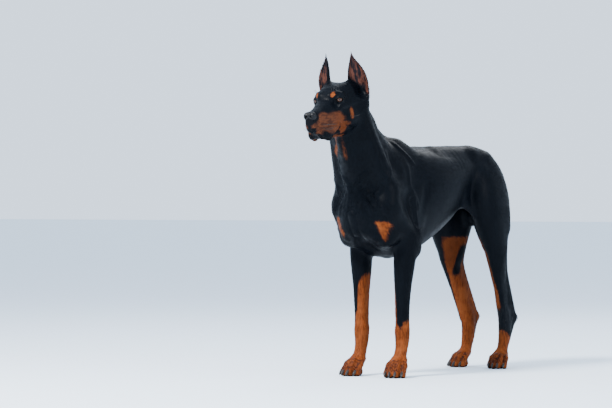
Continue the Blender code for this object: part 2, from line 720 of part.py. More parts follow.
def tube_cutter(path, radius):
    """A thin round tube along a path, as a converted curve."""
    curve = bpy.data.curves.new("groove", "CURVE")
    curve.dimensions = "3D"
    curve.bevel_depth = radius
    curve.bevel_resolution = 1
    curve.use_fill_caps = True
    line = curve.splines.new("POLY")
    line.points.add(len(path) - 1)
    for point, place in zip(line.points, path):
        point.co = (*place, 1)
    body = bpy.data.objects.new("groove", curve)
    bpy.context.scene.collection.objects.link(body)
    mesh = bpy.data.meshes.new_from_object(body)
    bpy.data.objects.remove(body)
    tube = bpy.data.objects.new("groove", mesh)
    bpy.context.scene.collection.objects.link(tube)
    return tube


def make_ear(name, side, head):
    """A cropped ear, trimmed where it stands on the head."""
    outside, inside = Flesh(), Flesh()
    lay_ear(outside, side)
    lay_ear_cup(inside, side)
    ear = grow_skin(name, outside, EAR_GRAIN, 2)
    cup = grow_skin("cup", inside, EAR_GRAIN, 2)
    thin_out(ear, EAR_FACES / len(ear.data.polygons) / 2)
    thin_out(cup, EAR_FACES / len(cup.data.polygons) / 2)
    combine(ear, cup, "DIFFERENCE")
    combine(ear, swollen(head, SAW), "DIFFERENCE")
    return ear


def swollen(body, amount):
    """A copy of a body with its surface moved outwards."""
    twin = copy_of(body, "swollen")
    normals = np.empty(len(twin.data.vertices) * 3)
    twin.data.vertices.foreach_get("normal", normals)
    move_corners(twin, corners_of(twin) + normals.reshape(-1, 3) * amount)
    return twin


def build_all():
    for body in list(bpy.data.objects):
        bpy.data.objects.remove(body)
    flesh = whole_dog()
    skin = grow_skin("torso", flesh, GRAIN)
    thin_out(skin, SKIN_RATIO, firmness_at(corners_of(skin)))
    move_corners(skin, flesh.settle(corners_of(skin), 3))
    combine(skin, box_cutter((0, 0, -0.05), (2, 2, 0.1)), "DIFFERENCE")
    nodes = []
    for side, hand in ((1, "left"), (-1, "right")):
        nodes.append((make_ear("ear_" + hand, side, skin), EAR_SKIN, 0.6))
    for side, hand in ((1, "left"), (-1, "right")):
        leg = part_off(skin, "foreleg_" + hand, lambda grow: limb_region(
            side, (0.103, 0.004, 0.396), (0.064, 0.090, 0.102), (0.036, -0.14, -0.02), (0.160, 0.14, 0.360),
            grow))
        paw = part_off(leg, "forepaw_" + hand, lambda grow: slab(
            on_side((0.073, -0.004, 0.150), side), (0, 0, -1), grow))
        add_claws(paw, side, FORE_FETLOCK, FORE_PAW, FORE_TURN[side])
        nodes += [(leg, BLACK, 0.4), (paw, RUST, 0.55)]
        leg = part_off(skin, "hindleg_" + hand, lambda grow: limb_region(
            side, (0.098, 0.470, 0.480), (0.088, 0.125, 0.150), (0.002, 0.30, -0.02), (0.160, 0.66, 0.418),
            grow))
        paw = part_off(leg, "hindpaw_" + hand, lambda grow: slab(
            on_side((0.067, 0.553, 0.200), side), (0, 0.3, -1), grow))
        add_claws(paw, side, HIND_FETLOCK, HIND_PAW, HIND_TURN[side])
        nodes += [(leg, BLACK, 0.4), (paw, RUST, 0.55)]
    head = part_off(skin, "head", lambda grow: slab((0, -0.190, 0.768), (0, -0.846, 0.533), grow))
    neck = part_off(skin, "neck", lambda grow: slab((0, -0.090, 0.622), (0, -0.778, 0.628), grow))
    tail = part_off(skin, "tail", lambda grow: ball_cutter(
        (0, 0.544, 0.640), [r + grow for r in (0.036, 0.030, 0.034)], detail=2))
    nose_axes = (AHEAD, LEFT, UP)
    nose = part_off(head, "nose", lambda grow: ball_cutter(
        on_head(0.112, 0, -0.029), [r + grow for r in (0.016, 0.021, 0.018)], nose_axes, 3))
    for side in (1, -1):
        open_lids(head, side)
        combine(head, tube_cutter(mouth_path(flesh, side), 0.0014), "DIFFERENCE")
        nostril = ball_cutter(on_head(0.1195, 0.0085 * side, -0.028), (0.0060, 0.0032, 0.0036), nose_axes, 2)
        combine(nose, nostril, "DIFFERENCE")
    for side, hand in ((1, "left"), (-1, "right")):
        eye = ball_cutter(eye_centre(side), (EYE_RADIUS,) * 3, detail=3)
        eye.data.name = "eye_" + hand
        eye.name = "eye_" + hand
        nodes.append((eye, EYE_BROWN, 0.1))
    nodes += [(skin, BLACK, 0.4), (head, BLACK, 0.4), (neck, BLACK, 0.4), (tail, BLACK, 0.4),
              (nose, NOSE_BLACK, 0.3)]
    return nodes


def place_and_collect(nodes):
    """Puts the middle of the whole dog's footprint on the origin, and the nodes in a collection."""
    points = np.concatenate([corners_of(body) for body, _, _ in nodes])
    low, high = points.min(0), points.max(0)
    shift = np.array(((low[0] + high[0]) / 2, (low[1] + high[1]) / 2, low[2]))
    dog = bpy.data.collections.new("doberman_pinscher")
    bpy.context.scene.collection.children.link(dog)
    for body, colour, roughness in nodes:
        move_corners(body, corners_of(body) - shift)
        body.data.name = body.name
        paint(body, colour, roughness)
        bpy.context.scene.collection.objects.unlink(body)
        dog.objects.link(body)


def main():
    place_and_collect(build_all())


if __name__ == "__main__":
    main()
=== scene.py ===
import math

import bmesh
import bpy
import numpy as np
from bpy.props import FloatProperty, FloatVectorProperty, IntProperty, PointerProperty
from mathutils import Matrix, Vector


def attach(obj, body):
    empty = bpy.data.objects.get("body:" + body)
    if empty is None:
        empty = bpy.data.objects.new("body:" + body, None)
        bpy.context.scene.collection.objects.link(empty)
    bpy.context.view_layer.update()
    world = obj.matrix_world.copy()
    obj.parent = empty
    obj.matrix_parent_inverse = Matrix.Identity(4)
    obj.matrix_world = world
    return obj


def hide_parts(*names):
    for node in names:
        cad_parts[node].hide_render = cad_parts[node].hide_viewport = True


bl_info = {
    "name": "Doberman pinscher",
    "version": (1, 0, 0),
    "blender": (4, 5, 0),
    "location": "3D View > Sidebar > Dog",
    "description": "A life-size black and rust dog: skin, nose, eyes, claws, whiskers and short coat",
    "category": "Object",
}

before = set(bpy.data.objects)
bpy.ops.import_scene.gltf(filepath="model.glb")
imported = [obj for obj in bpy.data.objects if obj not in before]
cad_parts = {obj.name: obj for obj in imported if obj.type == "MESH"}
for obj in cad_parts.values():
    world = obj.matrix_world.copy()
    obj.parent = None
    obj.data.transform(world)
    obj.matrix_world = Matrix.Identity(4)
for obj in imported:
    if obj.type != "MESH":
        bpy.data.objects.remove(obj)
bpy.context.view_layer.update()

# Landmarks are measured from midway between the fore feet; MIDDLE is the frame's origin there.
MIDDLE = Vector((0.0, 0.10748, 0.0))
ORIGIN = np.array(MIDDLE)
FLESH_NODES = ["torso", "neck", "head", "tail"] + [
    part + hand for part in ("foreleg_", "forepaw_", "hindleg_", "hindpaw_") for hand in ("left", "right")]
PROBE = 0.0006  # step used to read which way the flesh faces
REACH = 0.03  # how far past its own surface a stroke still counts
LONGEST_STEP = 0.004  # furthest that one round of settling moves a point
LONGEST_DRAW = 0.006  # furthest that one round of drawing on moves a corner

HANDS = {1: "left", -1: "right"}
WITHERS = (0.0, 0.012, 0.676)
PROSTERNUM = (0.0, -0.126, 0.478)
SHOULDER_POINT = (0.080, -0.086, 0.500)
SCAPULA_TOP = (0.034, 0.022, 0.662)
ELBOW = (0.080, 0.030, 0.380)
FORE_FETLOCK = (0.073, -0.018, 0.050)
CARPAL_PAD = (0.076, 0.013, 0.112)
HIP = (0.072, 0.455, 0.600)
ISCHIUM = (0.046, 0.532, 0.568)
STIFLE = (0.086, 0.448, 0.392)
HOCK_POINT = (0.070, 0.601, 0.155)
HIND_FETLOCK = (0.067, 0.537, 0.045)
TAIL_ROOT = (0.0, 0.500, 0.634)
TAIL_TIP = (0.0, 0.553, 0.632)
FORE_PAW = 1.0  # sizes of the paws against the drawing of one in lay_paw
HIND_PAW = 0.93
FORE_TURN = {1: math.radians(16), -1: math.radians(2)}
HIND_TURN = {1: math.radians(14), -1: math.radians(8)}
TOE_SPACING = 0.0150

EYES = Vector((0.013, -0.287, 0.802))  # midway between the eyes
HEAD_TURN = math.radians(7)
HEAD_NOD = math.radians(11)
HEAD_LEAN = math.radians(2)
EYE_RADIUS = 0.0115
LID_RADIUS = 0.0150
EYE_SPOT = (-0.004, 0.0350, 0.0)
EYE_BULGE = 0.0006
BEHIND_THE_EYE = 40  # added to the distance from the pupil on the back of the eyeball
NOSE_GRAIN = 0.0008
NOSTRIL_GRAIN = 0.0007
EAR_WALL = 0.0036
THINNEST_CUP = 0.0008
EAR_TURN = {1: math.radians(25), -1: math.radians(33)}


def head_axes():
    """Ahead, left and up of the head, as unit vectors."""
    ahead = Vector((math.sin(HEAD_TURN) * math.cos(HEAD_NOD), -math.cos(HEAD_TURN) * math.cos(HEAD_NOD),
                    -math.sin(HEAD_NOD)))
    left = Vector((math.cos(HEAD_TURN), math.sin(HEAD_TURN), 0.0))
    left.rotate(Matrix.Rotation(HEAD_LEAN, 3, ahead))
    return ahead, left, ahead.cross(left)


AHEAD, LEFT, UP = HEAD_AXES = head_axes()


def on_head(ahead, left, up):
    """A point given in the head's own axes, measured from between the eyes."""
    return EYES + AHEAD * ahead + LEFT * left + UP * up


def on_side(point, side):
    """A left-hand point, or its twin on the right where side is -1."""
    return Vector((point[0] * side, point[1], point[2]))


def head_side(place, side):
    """A point of the head's left side in its own axes, or its twin on the right."""
    ahead, left, up = place
    return on_head(ahead, left * side, up)


def mirrored(stations, side):
    """Stations of a left limb, or those of its twin on the right."""
    return [(x * side, *rest) for x, *rest in stations]


def unit(rows):
    """Rows made one long."""
    return rows / np.linalg.norm(rows, axis=-1, keepdims=True)


def paws(side):
    """Fetlock, size and turn of the fore paw and of the hind paw of one side."""
    return ((on_side(FORE_FETLOCK, side), FORE_PAW, FORE_TURN[side]),
            (on_side(HIND_FETLOCK, side), HIND_PAW, HIND_TURN[side]))


def through(stations, steps=4):
    """Stations along a limb, filled in by a smooth curve through them."""
    rows = np.array(stations, float)
    padded = np.vstack([2 * rows[0] - rows[1], rows, 2 * rows[-1] - rows[-2]])
    out = []
    for a, b, c, d in zip(padded, padded[1:], padded[2:], padded[3:]):
        for t in np.arange(steps) / steps:
            out.append(0.5 * (2 * b + (c - a) * t + (2 * a - 5 * b + 4 * c - d) * t**2
                              + (3 * b - a - 3 * c + d) * t**3))
    return np.array(out + [rows[-1]])


class Flesh:
    """Strokes of flesh that melt into one another, read as a distance from their common skin."""

    def __init__(self):
        self.strokes = []

    def limb(self, stations, blend=0.015, lateral=(1, 0, 0), egg=0.0, power=2.0, carve=False):
        """A tapering limb. A station is its centre, its half width and its half depth."""
        rows = through(stations)
        centres, halves = rows[:, :3], rows[:, 3:5]
        tangents = unit(np.gradient(centres, axis=0))
        wide = unit(np.array(lateral, float) - tangents * (tangents @ np.array(lateral, float))[:, None])
        deep = np.cross(wide, tangents)

        def distance(points):
            nearest = np.full(len(points), 9.0)
            result = np.full(len(points), 1.0)
            for i in range(len(rows) - 1):
                reach = halves[i:i + 2].max() + blend + REACH
                low = np.minimum(centres[i], centres[i + 1]) - reach
                high = np.maximum(centres[i], centres[i + 1]) + reach
                near = np.where(((points > low) & (points < high)).all(1))[0]
                if not len(near):
                    continue
                leg = centres[i + 1] - centres[i]
                offset = points[near] - centres[i]
                t = np.clip(offset @ leg / (leg @ leg), 0, 1)[:, None]
                v = offset - t * leg
                length = np.sqrt((v * v).sum(1)) + 1e-9
                closer = length < nearest[near]
                near, t, v, length = near[closer], t[closer], v[closer], length[closer]
                half = halves[i] * (1 - t) + halves[i + 1] * t
                x = (v * (wide[i] * (1 - t) + wide[i + 1] * t)).sum(1)
                y = (v * (deep[i] * (1 - t) + deep[i + 1] * t)).sum(1)
                z = (v * (tangents[i] * (1 - t) + tangents[i + 1] * t)).sum(1)
                a, b = half[:, 0], half[:, 1]
                a = a * (1 + egg * np.clip(y / b, -1, 1))
                q = (np.abs(x / a) ** power + np.abs(y / b) ** power
                     + np.abs(z / np.minimum(a, b)) ** power) ** (1 / power) + 1e-9
                nearest[near] = length
                result[near] = length * (1 - 1 / q)
            return result

        reach = halves.max(1)[:, None]
        self.keep(distance, (centres - reach).min(0), (centres + reach).max(0), blend, carve)

    def muscle(self, start, end, thick, thin=None, belly=0.0, flat=1.0, across=(1, 0, 0), blend=0.012,
               carve=False):
        """A muscle or tendon from start to end, or a groove where it carves."""
        start, end = np.array(start, float), np.array(end, float)
        thin = thick if thin is None else thin
        across = np.array(across, float) / np.linalg.norm(across)
        line = end - start

        def distance(points):
            t = np.clip((points - start) @ line / (line @ line), 0, 1)
            v = points - start - t[:, None] * line
            length = np.sqrt((v * v).sum(1)) + 1e-9
            radius = thick + (thin - thick) * t + belly * 4 * t * (1 - t)
            squeezed = np.sqrt(length**2 + (v @ across) ** 2 * (1 / flat**2 - 1))
            return length * (1 - radius / squeezed)

        most = max(thick, thin) + belly
        self.keep(distance, np.minimum(start, end) - most, np.maximum(start, end) + most, blend, carve)

    def lump(self, centre, radii, blend=0.012, axes=None, carve=False):
        """A rounded lump, or a hollow where it carves. Radii lie along the axes."""
        centre, radii = np.array(centre, float), np.array(radii, float)
        axes = np.eye(3) if axes is None else np.array(axes, float)

        def distance(points):
            v = points - centre
            length = np.sqrt((v * v).sum(1)) + 1e-9
            return length * (1 - 1 / (np.sqrt((((v @ axes.T) / radii) ** 2).sum(1)) + 1e-9))

        self.keep(distance, centre - radii.max(), centre + radii.max(), blend, carve)

    def strap(self, side, start, end, thick, thin=None, **how):
        """A muscle between two points of the left side, or its twin on the right."""
        self.muscle(on_side(start, side), on_side(end, side), thick, thin, **how)

    def knob(self, side, centre, radii, blend):
        """A lump of the left side, or its twin on the right."""
        self.lump(on_side(centre, side), radii, blend)

    def keep(self, distance, low, high, blend, carve=False):
        margin = blend + REACH
        self.strokes.append((distance, np.array(low) - margin, np.array(high) + margin, blend, carve))

    def read(self, points):
        """Distance of each point of the frame from the flesh, negative inside."""
        points = points + ORIGIN
        field = np.full(len(points), 1.0)
        for distance, low, high, blend, carve in self.strokes:
            near = np.where(((points > low) & (points < high)).all(1))[0]
            if not len(near):
                continue
            old, new = field[near], distance(points[near])
            if carve:
                mix = np.maximum(blend - np.abs(old + new), 0) / blend
                field[near] = np.maximum(old, -new) + mix**2 * blend / 4
            else:
                mix = np.maximum(blend - np.abs(old - new), 0) / blend
                field[near] = np.minimum(old, new) - mix**2 * blend / 4
        return field

    def slope(self, points):
        """Which way the flesh faces at each point, not made unit length."""
        here = self.read(points)
        return here, np.stack([(self.read(points + step) - here) / PROBE for step in np.eye(3) * PROBE], 1)

    def settle(self, points, rounds=3, under=0.0):
        """Moves points until they lie on the flesh, or that far under it."""
        for _ in range(rounds):
            here, slope = self.slope(points)
            steep = np.maximum((slope**2).sum(1), 0.2)
            points = points - slope * np.clip((here + under) / steep, -LONGEST_STEP, LONGEST_STEP)[:, None]
        return points


def lay_torso(flesh):
    """Ribcage, loin and croup as one barrel, then the muscle that shows on it."""
    flesh.limb([
        (0, -0.090, 0.505, 0.058, 0.074),
        (0, -0.050, 0.512, 0.078, 0.126),
        (0, 0.010, 0.520, 0.088, 0.159),
        (0, 0.085, 0.521, 0.102, 0.162),
        (0, 0.165, 0.535, 0.108, 0.145),
        (0, 0.240, 0.554, 0.103, 0.124),
        (0, 0.310, 0.576, 0.091, 0.102),
        (0, 0.370, 0.584, 0.082, 0.096),
        (0, 0.430, 0.589, 0.078, 0.090),
        (0, 0.480, 0.583, 0.066, 0.072),
        (0, 0.508, 0.578, 0.052, 0.054),
    ], blend=0.02, egg=0.17, power=2.2)
    flesh.muscle(PROSTERNUM, (0, 0.02, 0.372), 0.025, 0.020, belly=0.003, blend=0.035)  # breast bone
    flesh.muscle((0, 0.32, 0.468), (0, 0.262, 0.440), 0.010, 0.009, blend=0.014)  # sheath
    flesh.lump((0, 0.486, 0.462), (0.020, 0.024, 0.024), blend=0.015)
    for side in HANDS:
        flesh.strap(side, (0.032, 0.20, 0.648), (0.034, 0.42, 0.650), 0.030, blend=0.02)  # loin
        flesh.strap(side, (0.062, 0.33, 0.520), (0.086, 0.434, 0.446), 0.020, 0.015, flat=0.5,
                    blend=0.03)  # flank


def lay_neck(flesh):
    flesh.limb([
        (0.007, -0.200, 0.790, 0.046, 0.052),
        (0.004, -0.163, 0.745, 0.050, 0.060),
        (0.001, -0.122, 0.690, 0.058, 0.072),
        (0.0, -0.078, 0.630, 0.070, 0.088),
        (0.0, -0.034, 0.565, 0.078, 0.100),
        (0.0, -0.014, 0.530, 0.074, 0.096),
    ], blend=0.04, egg=0.10)
    flesh.muscle(on_head(-0.112, 0, -0.012), WITHERS, 0.021, 0.021, belly=-0.005, flat=0.7, blend=0.03)
    flesh.muscle(on_head(-0.106, 0, -0.006), (0, -0.118, 0.740), 0.028, 0.034, blend=0.035)  # nape
    flesh.muscle(on_head(-0.045, 0, -0.070), (0, -0.112, 0.560), 0.024, 0.022, blend=0.03)
    for side in HANDS:
        jaw = head_side((-0.090, 0.036, -0.030), side)
        flesh.muscle(jaw, on_side((0.072, -0.078, 0.548), side), 0.024, 0.034, blend=0.024)
        flesh.muscle(jaw, on_side((0.016, -0.118, 0.516), side), 0.014, 0.016, blend=0.02)


def lay_shoulder(flesh, side):
    flesh.strap(side, SCAPULA_TOP, SHOULDER_POINT, 0.034, belly=0.004, flat=0.62, across=(side, -0.35, 0.2),
                blend=0.035)
    flesh.strap(side, (0.050, 0.050, 0.628), ELBOW, 0.036, 0.026, belly=0.022, flat=0.52, blend=0.026)
    flesh.strap(side, SHOULDER_POINT, ELBOW, 0.031, 0.030, belly=0.004, flat=0.9, blend=0.035)
    for start, end, thick, thin in (((0.046, -0.076, 0.530), (0.056, -0.072, 0.440), 0.030, 0.028),
                                    ((0.024, -0.116, 0.482), (0.064, -0.070, 0.410), 0.028, 0.030),
                                    ((0.024, -0.108, 0.440), (0.034, 0.000, 0.380), 0.028, 0.024)):
        flesh.strap(side, start, end, thick, thin, blend=0.035)


def lay_foreleg(flesh, side):
    flesh.limb(mirrored([
        (0.080, 0.012, 0.405, 0.034, 0.044),
        (0.079, 0.004, 0.365, 0.032, 0.0385),
        (0.077, 0.001, 0.325, 0.029, 0.0350),
        (0.075, -0.001, 0.280, 0.0250, 0.0300),
        (0.074, -0.002, 0.235, 0.0215, 0.0255),
        (0.073, -0.002, 0.190, 0.0200, 0.0225),
        (0.073, -0.002, 0.158, 0.0205, 0.0215),
        (0.073, -0.003, 0.134, 0.0225, 0.0225),
        (0.073, -0.003, 0.108, 0.0210, 0.0205),
        (0.073, -0.008, 0.080, 0.0190, 0.0180),
        (0.073, -0.017, 0.054, 0.0215, 0.0175),
    ], side), blend=0.012)
    flesh.knob(side, (0.078, 0.031, 0.388), (0.012, 0.013, 0.018), 0.014)  # elbow
    flesh.knob(side, (0.071, 0.012, 0.140), (0.010, 0.010, 0.012), 0.010)
    flesh.knob(side, CARPAL_PAD, (0.0065, 0.0075, 0.008), 0.005)
    fore_paw, _ = paws(side)
    lay_paw(flesh, side, *fore_paw)


def paw_axes(side, turn):
    """Ahead and outwards on the floor, for a paw turned out from straight ahead."""
    ahead = Vector((math.sin(turn) * side, -math.cos(turn), 0))
    return ahead, Vector((math.cos(turn) * side, math.sin(turn), 0))


def toes(fetlock, size, side, turn):
    """Root, knuckle and tip of each toe of a paw, from the inner toe out."""
    ahead, outward = paw_axes(side, turn)
    for place in (-1.5, -0.5, 0.5, 1.5):
        outer = abs(place) > 1
        spread = place * TOE_SPACING * size
        knuckle = fetlock + ahead * (0.024 if outer else 0.034) * size + outward * spread
        knuckle.z = 0.0345 * size if outer else 0.0395 * size
        tip = fetlock + ahead * (0.043 if outer else 0.056) * size + outward * spread * 1.12
        tip.z = 0.0135 * size
        yield fetlock + ahead * 0.002 + outward * spread * 0.55, knuckle, tip


def lay_paw(flesh, side, fetlock, size, turn):
    """Four arched toes drawn close round a main pad."""
    ahead, outward = paw_axes(side, turn)
    axes = (outward, ahead, (0, 0, 1))
    for root, knuckle, tip in toes(fetlock, size, side, turn):
        flesh.muscle(root, knuckle, 0.0125 * size, 0.0110 * size, blend=0.007)
        flesh.muscle(knuckle, tip, 0.0110 * size, 0.0100 * size, blend=0.004)
        flesh.lump(tip + Vector((0, 0, -0.0045)) * size - ahead * 0.003 * size,
                   np.array((0.0088, 0.0120, 0.0110)) * size, blend=0.003, axes=axes)
    pad = fetlock + ahead * 0.012 * size
    pad.z = 0.012 * size
    flesh.lump(pad, np.array((0.0215, 0.0170, 0.0150)) * size, blend=0.006, axes=axes)
    flesh.muscle(fetlock, pad - ahead * 0.004 * size, 0.0150 * size, 0.0130 * size, blend=0.008)


def lay_haunch(flesh, side):
    flesh.limb(mirrored([
        (0.050, 0.445, 0.632, 0.040, 0.052),
        (0.064, 0.450, 0.585, 0.048, 0.086),
        (0.073, 0.455, 0.530, 0.051, 0.096),
        (0.077, 0.461, 0.475, 0.049, 0.087),
        (0.080, 0.469, 0.430, 0.044, 0.071),
        (0.083, 0.479, 0.385, 0.036, 0.054),
        (0.084, 0.488, 0.335, 0.028, 0.042),
        (0.081, 0.500, 0.290, 0.0215, 0.032),
        (0.077, 0.516, 0.245, 0.0175, 0.0250),
        (0.072, 0.532, 0.200, 0.0165, 0.0230),
        (0.069, 0.550, 0.165, 0.0180, 0.0250),
        (0.0675, 0.555, 0.140, 0.0180, 0.0245),
        (0.067, 0.553, 0.105, 0.0165, 0.0215),
        (0.067, 0.548, 0.070, 0.0165, 0.0195),
        (0.067, 0.539, 0.047, 0.0190, 0.0180),
    ], side), blend=0.016, lateral=(1, 0.17 * side, 0))
    flesh.knob(side, ISCHIUM, (0.025, 0.023, 0.024), 0.03)
    flesh.knob(side, (0.052, 0.385, 0.652), (0.022, 0.024, 0.020), 0.03)  # hip bone
    flesh.strap(side, HIP, (0.092, 0.504, 0.440), 0.036, 0.027, belly=0.009, flat=0.7, blend=0.025)
    flesh.strap(side, (0.030, 0.488, 0.480), (0.072, 0.500, 0.350), 0.030, 0.020, blend=0.02)
    flesh.strap(side, (0.068, 0.400, 0.590), STIFLE, 0.034, 0.020, belly=0.006, flat=0.8, blend=0.025)
    flesh.knob(side, (0.084, 0.446, 0.386), (0.015, 0.015, 0.018), 0.016)  # kneecap
    for start, end, thick, thin, blend in (
            ((0.080, 0.518, 0.330), HOCK_POINT, 0.013, 0.0095, 0.018),  # heel tendon
            ((0.074, 0.530, 0.260), (0.069, 0.582, 0.165), 0.010, 0.009, 0.020),
            ((0.069, 0.574, 0.150), (0.067, 0.562, 0.105), 0.011, 0.010, 0.014),
            (HOCK_POINT, (0.067, 0.567, 0.082), 0.0110, 0.0085, 0.014)):
        flesh.strap(side, start, end, thick, thin, blend=blend)
    _, hind_paw = paws(side)
    lay_paw(flesh, side, *hind_paw)


def lay_head(flesh):
    def at(ahead, up, wide, deep):
        return (*on_head(ahead, 0, up), wide, deep)

    flesh.limb([
        at(-0.130, 0.002, 0.024, 0.026),
        at(-0.100, -0.006, 0.042, 0.043),
        at(-0.060, -0.011, 0.049, 0.052),
        at(-0.020, -0.014, 0.046, 0.052),
        at(0.010, -0.028, 0.037, 0.040),
        at(0.030, -0.036, 0.031, 0.033),
    ], blend=0.012, lateral=LEFT, power=2.3)
    flesh.limb([
        at(-0.010, -0.046, 0.036, 0.038),
        at(0.030, -0.044, 0.0295, 0.0395),
        at(0.068, -0.049, 0.0265, 0.0390),
        at(0.094, -0.051, 0.0235, 0.0350),
        at(0.104, -0.051, 0.0190, 0.0280),
    ], blend=0.014, lateral=LEFT, power=2.6)
    flesh.limb([
        at(0.080, -0.089, 0.0140, 0.0105),
        at(0.040, -0.092, 0.0195, 0.0125),
        at(-0.005, -0.092, 0.0280, 0.0160),
        at(-0.055, -0.086, 0.0350, 0.0230),
    ], blend=0.012, lateral=LEFT)
    flesh.lump(on_head(0.108, 0, -0.029), (0.0130, 0.0185, 0.0155), 0.006, HEAD_AXES)  # nose
    flesh.lump(on_head(-0.116, 0, 0.008), (0.018, 0.016, 0.014), 0.022, HEAD_AXES)  # back of the skull
    for side in HANDS:
        flesh.lump(head_side((-0.058, 0.040, -0.050), side), (0.040, 0.019, 0.036), 0.016, HEAD_AXES)  # cheek
        flesh.lump(head_side((-0.070, 0.028, 0.016), side), (0.042, 0.022, 0.022), 0.016, HEAD_AXES)
        for start, end, thick, thin, flat, blend in (
                ((0.002, 0.0385, -0.020), (-0.072, 0.053, -0.012), 0.0090, 0.0095, 1, 0.012),  # cheek bone
                ((0.012, 0.015, 0.014), (-0.014, 0.041, 0.012), 0.0080, 0.0075, 1, 0.010),
                ((0.088, 0.0165, -0.084), (0.062, 0.0225, -0.089), 0.0155, 0.0165, 0.50, 0.010),  # flew
                ((0.062, 0.0225, -0.089), (0.012, 0.0310, -0.074), 0.0165, 0.0085, 0.54, 0.010)):
            flesh.muscle(head_side(start, side), head_side(end, side), thick, thin, flat=flat, across=LEFT,
                         blend=blend)
        flesh.lump(head_side((0.018, 0.034, -0.006), side), (0.011, 0.007, 0.009), 0.012, HEAD_AXES,
                   carve=True)
        flesh.lump(eye_centre(side), (LID_RADIUS,) * 3, blend=0.005)


def ear_stations(side):
    """Centre line, half width and half depth of an ear from its root to its tip."""
    rows = (
        (-0.100, 0.053, -0.024, 0.0190, 0.0180),
        (-0.094, 0.0555, 0.004, 0.0265, 0.0195),
        (-0.088, 0.0555, 0.030, 0.0298, 0.0175),
        (-0.088, 0.0535, 0.054, 0.0275, 0.0145),
        (-0.090, 0.0485, 0.077, 0.0203, 0.0108),
        (-0.0915, 0.0440, 0.098, 0.0100, 0.0068),
        (-0.092, 0.0425, 0.112, 0.0040, 0.0036),
        (-0.093, 0.0420, 0.122, 0.0020, 0.0020),
    )
    return [(*head_side(place, side), wide, deep) for *place, wide, deep in rows]


def ear_turns(side):
    """Across the ear and out of its opening, as unit vectors."""
    turn = EAR_TURN[side]
    across = LEFT * math.cos(turn) * side - AHEAD * math.sin(turn)
    opening = AHEAD * math.cos(turn) + LEFT * math.sin(turn) * side
    return across, opening


def lay_ear(flesh, side):
    across, _ = ear_turns(side)
    flesh.limb(ear_stations(side), blend=0.006, lateral=across)


def ear_cup_stations(side):
    """The hollow of the ear, open to the front and the outside."""
    _, opening = ear_turns(side)
    rows = []
    for x, y, z, wide, deep in ear_stations(side)[1:]:
        centre = Vector((x, y, z)) + opening * deep
        wide = max(wide - 0.5 * EAR_WALL, THINNEST_CUP)
        rows.append((*centre, wide, max(2 * deep - EAR_WALL, THINNEST_CUP)))
    return rows


def lay_ear_cup(flesh, side, carve=False):
    across, _ = ear_turns(side)
    flesh.limb(ear_cup_stations(side), blend=0.003, lateral=across, carve=carve)


# Places on the line where the lips meet, from under the nose to the corner of the mouth.
LIPS = ((0.113, 0.000, -0.064), (0.108, 0.008, -0.076), (0.094, 0.020, -0.092), (0.068, 0.030, -0.100),
        (0.044, 0.034, -0.096), (0.020, 0.037, -0.083), (0.004, 0.040, -0.068))


def mouth_path(flesh, side):
    path = through([head_side(place, side) - MIDDLE for place in LIPS])
    return flesh.settle(path, 6) + ORIGIN


def eye_centre(side):
    return head_side(EYE_SPOT, side)


def gaze(side):
    return (AHEAD * 0.80 + LEFT * 0.60 * side).normalized()


# Soft ridges: thickness, how far it stands proud, then its line on the left side.
RIDGES = (
    (0.0060, 0.0022,
     ((0.041, -0.010, 0.688), (0.061, -0.002, 0.670), (0.076, 0.016, 0.647), (0.085, 0.035, 0.626))),
    (0.0070, 0.0016,
     ((0.068, -0.077, 0.656), (0.080, -0.082, 0.625), (0.093, -0.096, 0.600), (0.097, -0.107, 0.576))),
    (0.0060, 0.0016,
     ((0.088, 0.005, 0.618), (0.096, 0.004, 0.565), (0.098, 0.028, 0.529), (0.099, 0.044, 0.490))),
    (0.0070, 0.0020,
     ((0.050, -0.137, 0.605), (0.022, -0.157, 0.574), (0.008, -0.156, 0.545), (0.012, -0.155, 0.500))),
    (0.0070, 0.0020,
     ((0.039, -0.143, 0.545), (0.050, -0.134, 0.531), (0.067, -0.124, 0.535), (0.082, -0.117, 0.559))),
    (0.0060, 0.0018, ((0.041, -0.143, 0.516), (0.053, -0.139, 0.492), (0.058, -0.132, 0.470))),
    (0.0070, 0.0018,
     ((0.085, -0.125, 0.495), (0.095, -0.115, 0.480), (0.097, -0.096, 0.456), (0.098, -0.081, 0.425))),
    (0.0050, 0.0014, ((0.028, -0.112, 0.400), (0.040, -0.080, 0.386), (0.045, -0.045, 0.372))),
)

# Tendons and veins of the legs: both ends on the left side, thickness at each, blend.
TENDONS = (
    ((0.058, -0.010, 0.330), (0.060, -0.016, 0.180), 0.0022, 0.0018, 0.006),
    ((0.086, -0.016, 0.250), (0.080, -0.022, 0.120), 0.0030, 0.0026, 0.008),
    ((0.073, 0.014, 0.230), (0.073, 0.016, 0.150), 0.0060, 0.0050, 0.010),
    ((0.094, 0.520, 0.330), (0.084, 0.560, 0.215), 0.0020, 0.0018, 0.006),
    ((0.092, 0.478, 0.300), (0.080, 0.536, 0.150), 0.0045, 0.0035, 0.012),
)


def lay_ridge(flesh, line, thick, proud, side):
    """A soft ridge laid along the flesh and standing that far proud of it."""
    path = flesh.settle(through([on_side(row, side) - MIDDLE for row in line], 3), 5)
    _, slope = flesh.slope(path)
    path = path + ORIGIN - unit(slope) * (thick - proud)
    for start, end in zip(path, path[1:]):
        flesh.muscle(start, end, thick, blend=0.006)


def lay_mouth(flesh, side):
    path = mouth_path(flesh, side)
    for start, end in zip(path, path[1:]):
        flesh.muscle(start, end, 0.0013, blend=0.0016, carve=True)
    corner = path[-1]
    flesh.muscle(corner + np.array(UP) * 0.006, corner - np.array(AHEAD) * 0.006, 0.0012, blend=0.003,
                 carve=True)
    flesh.muscle(on_head(0.119, 0, -0.046), on_head(0.113, 0, -0.066), 0.0011, blend=0.003, carve=True)


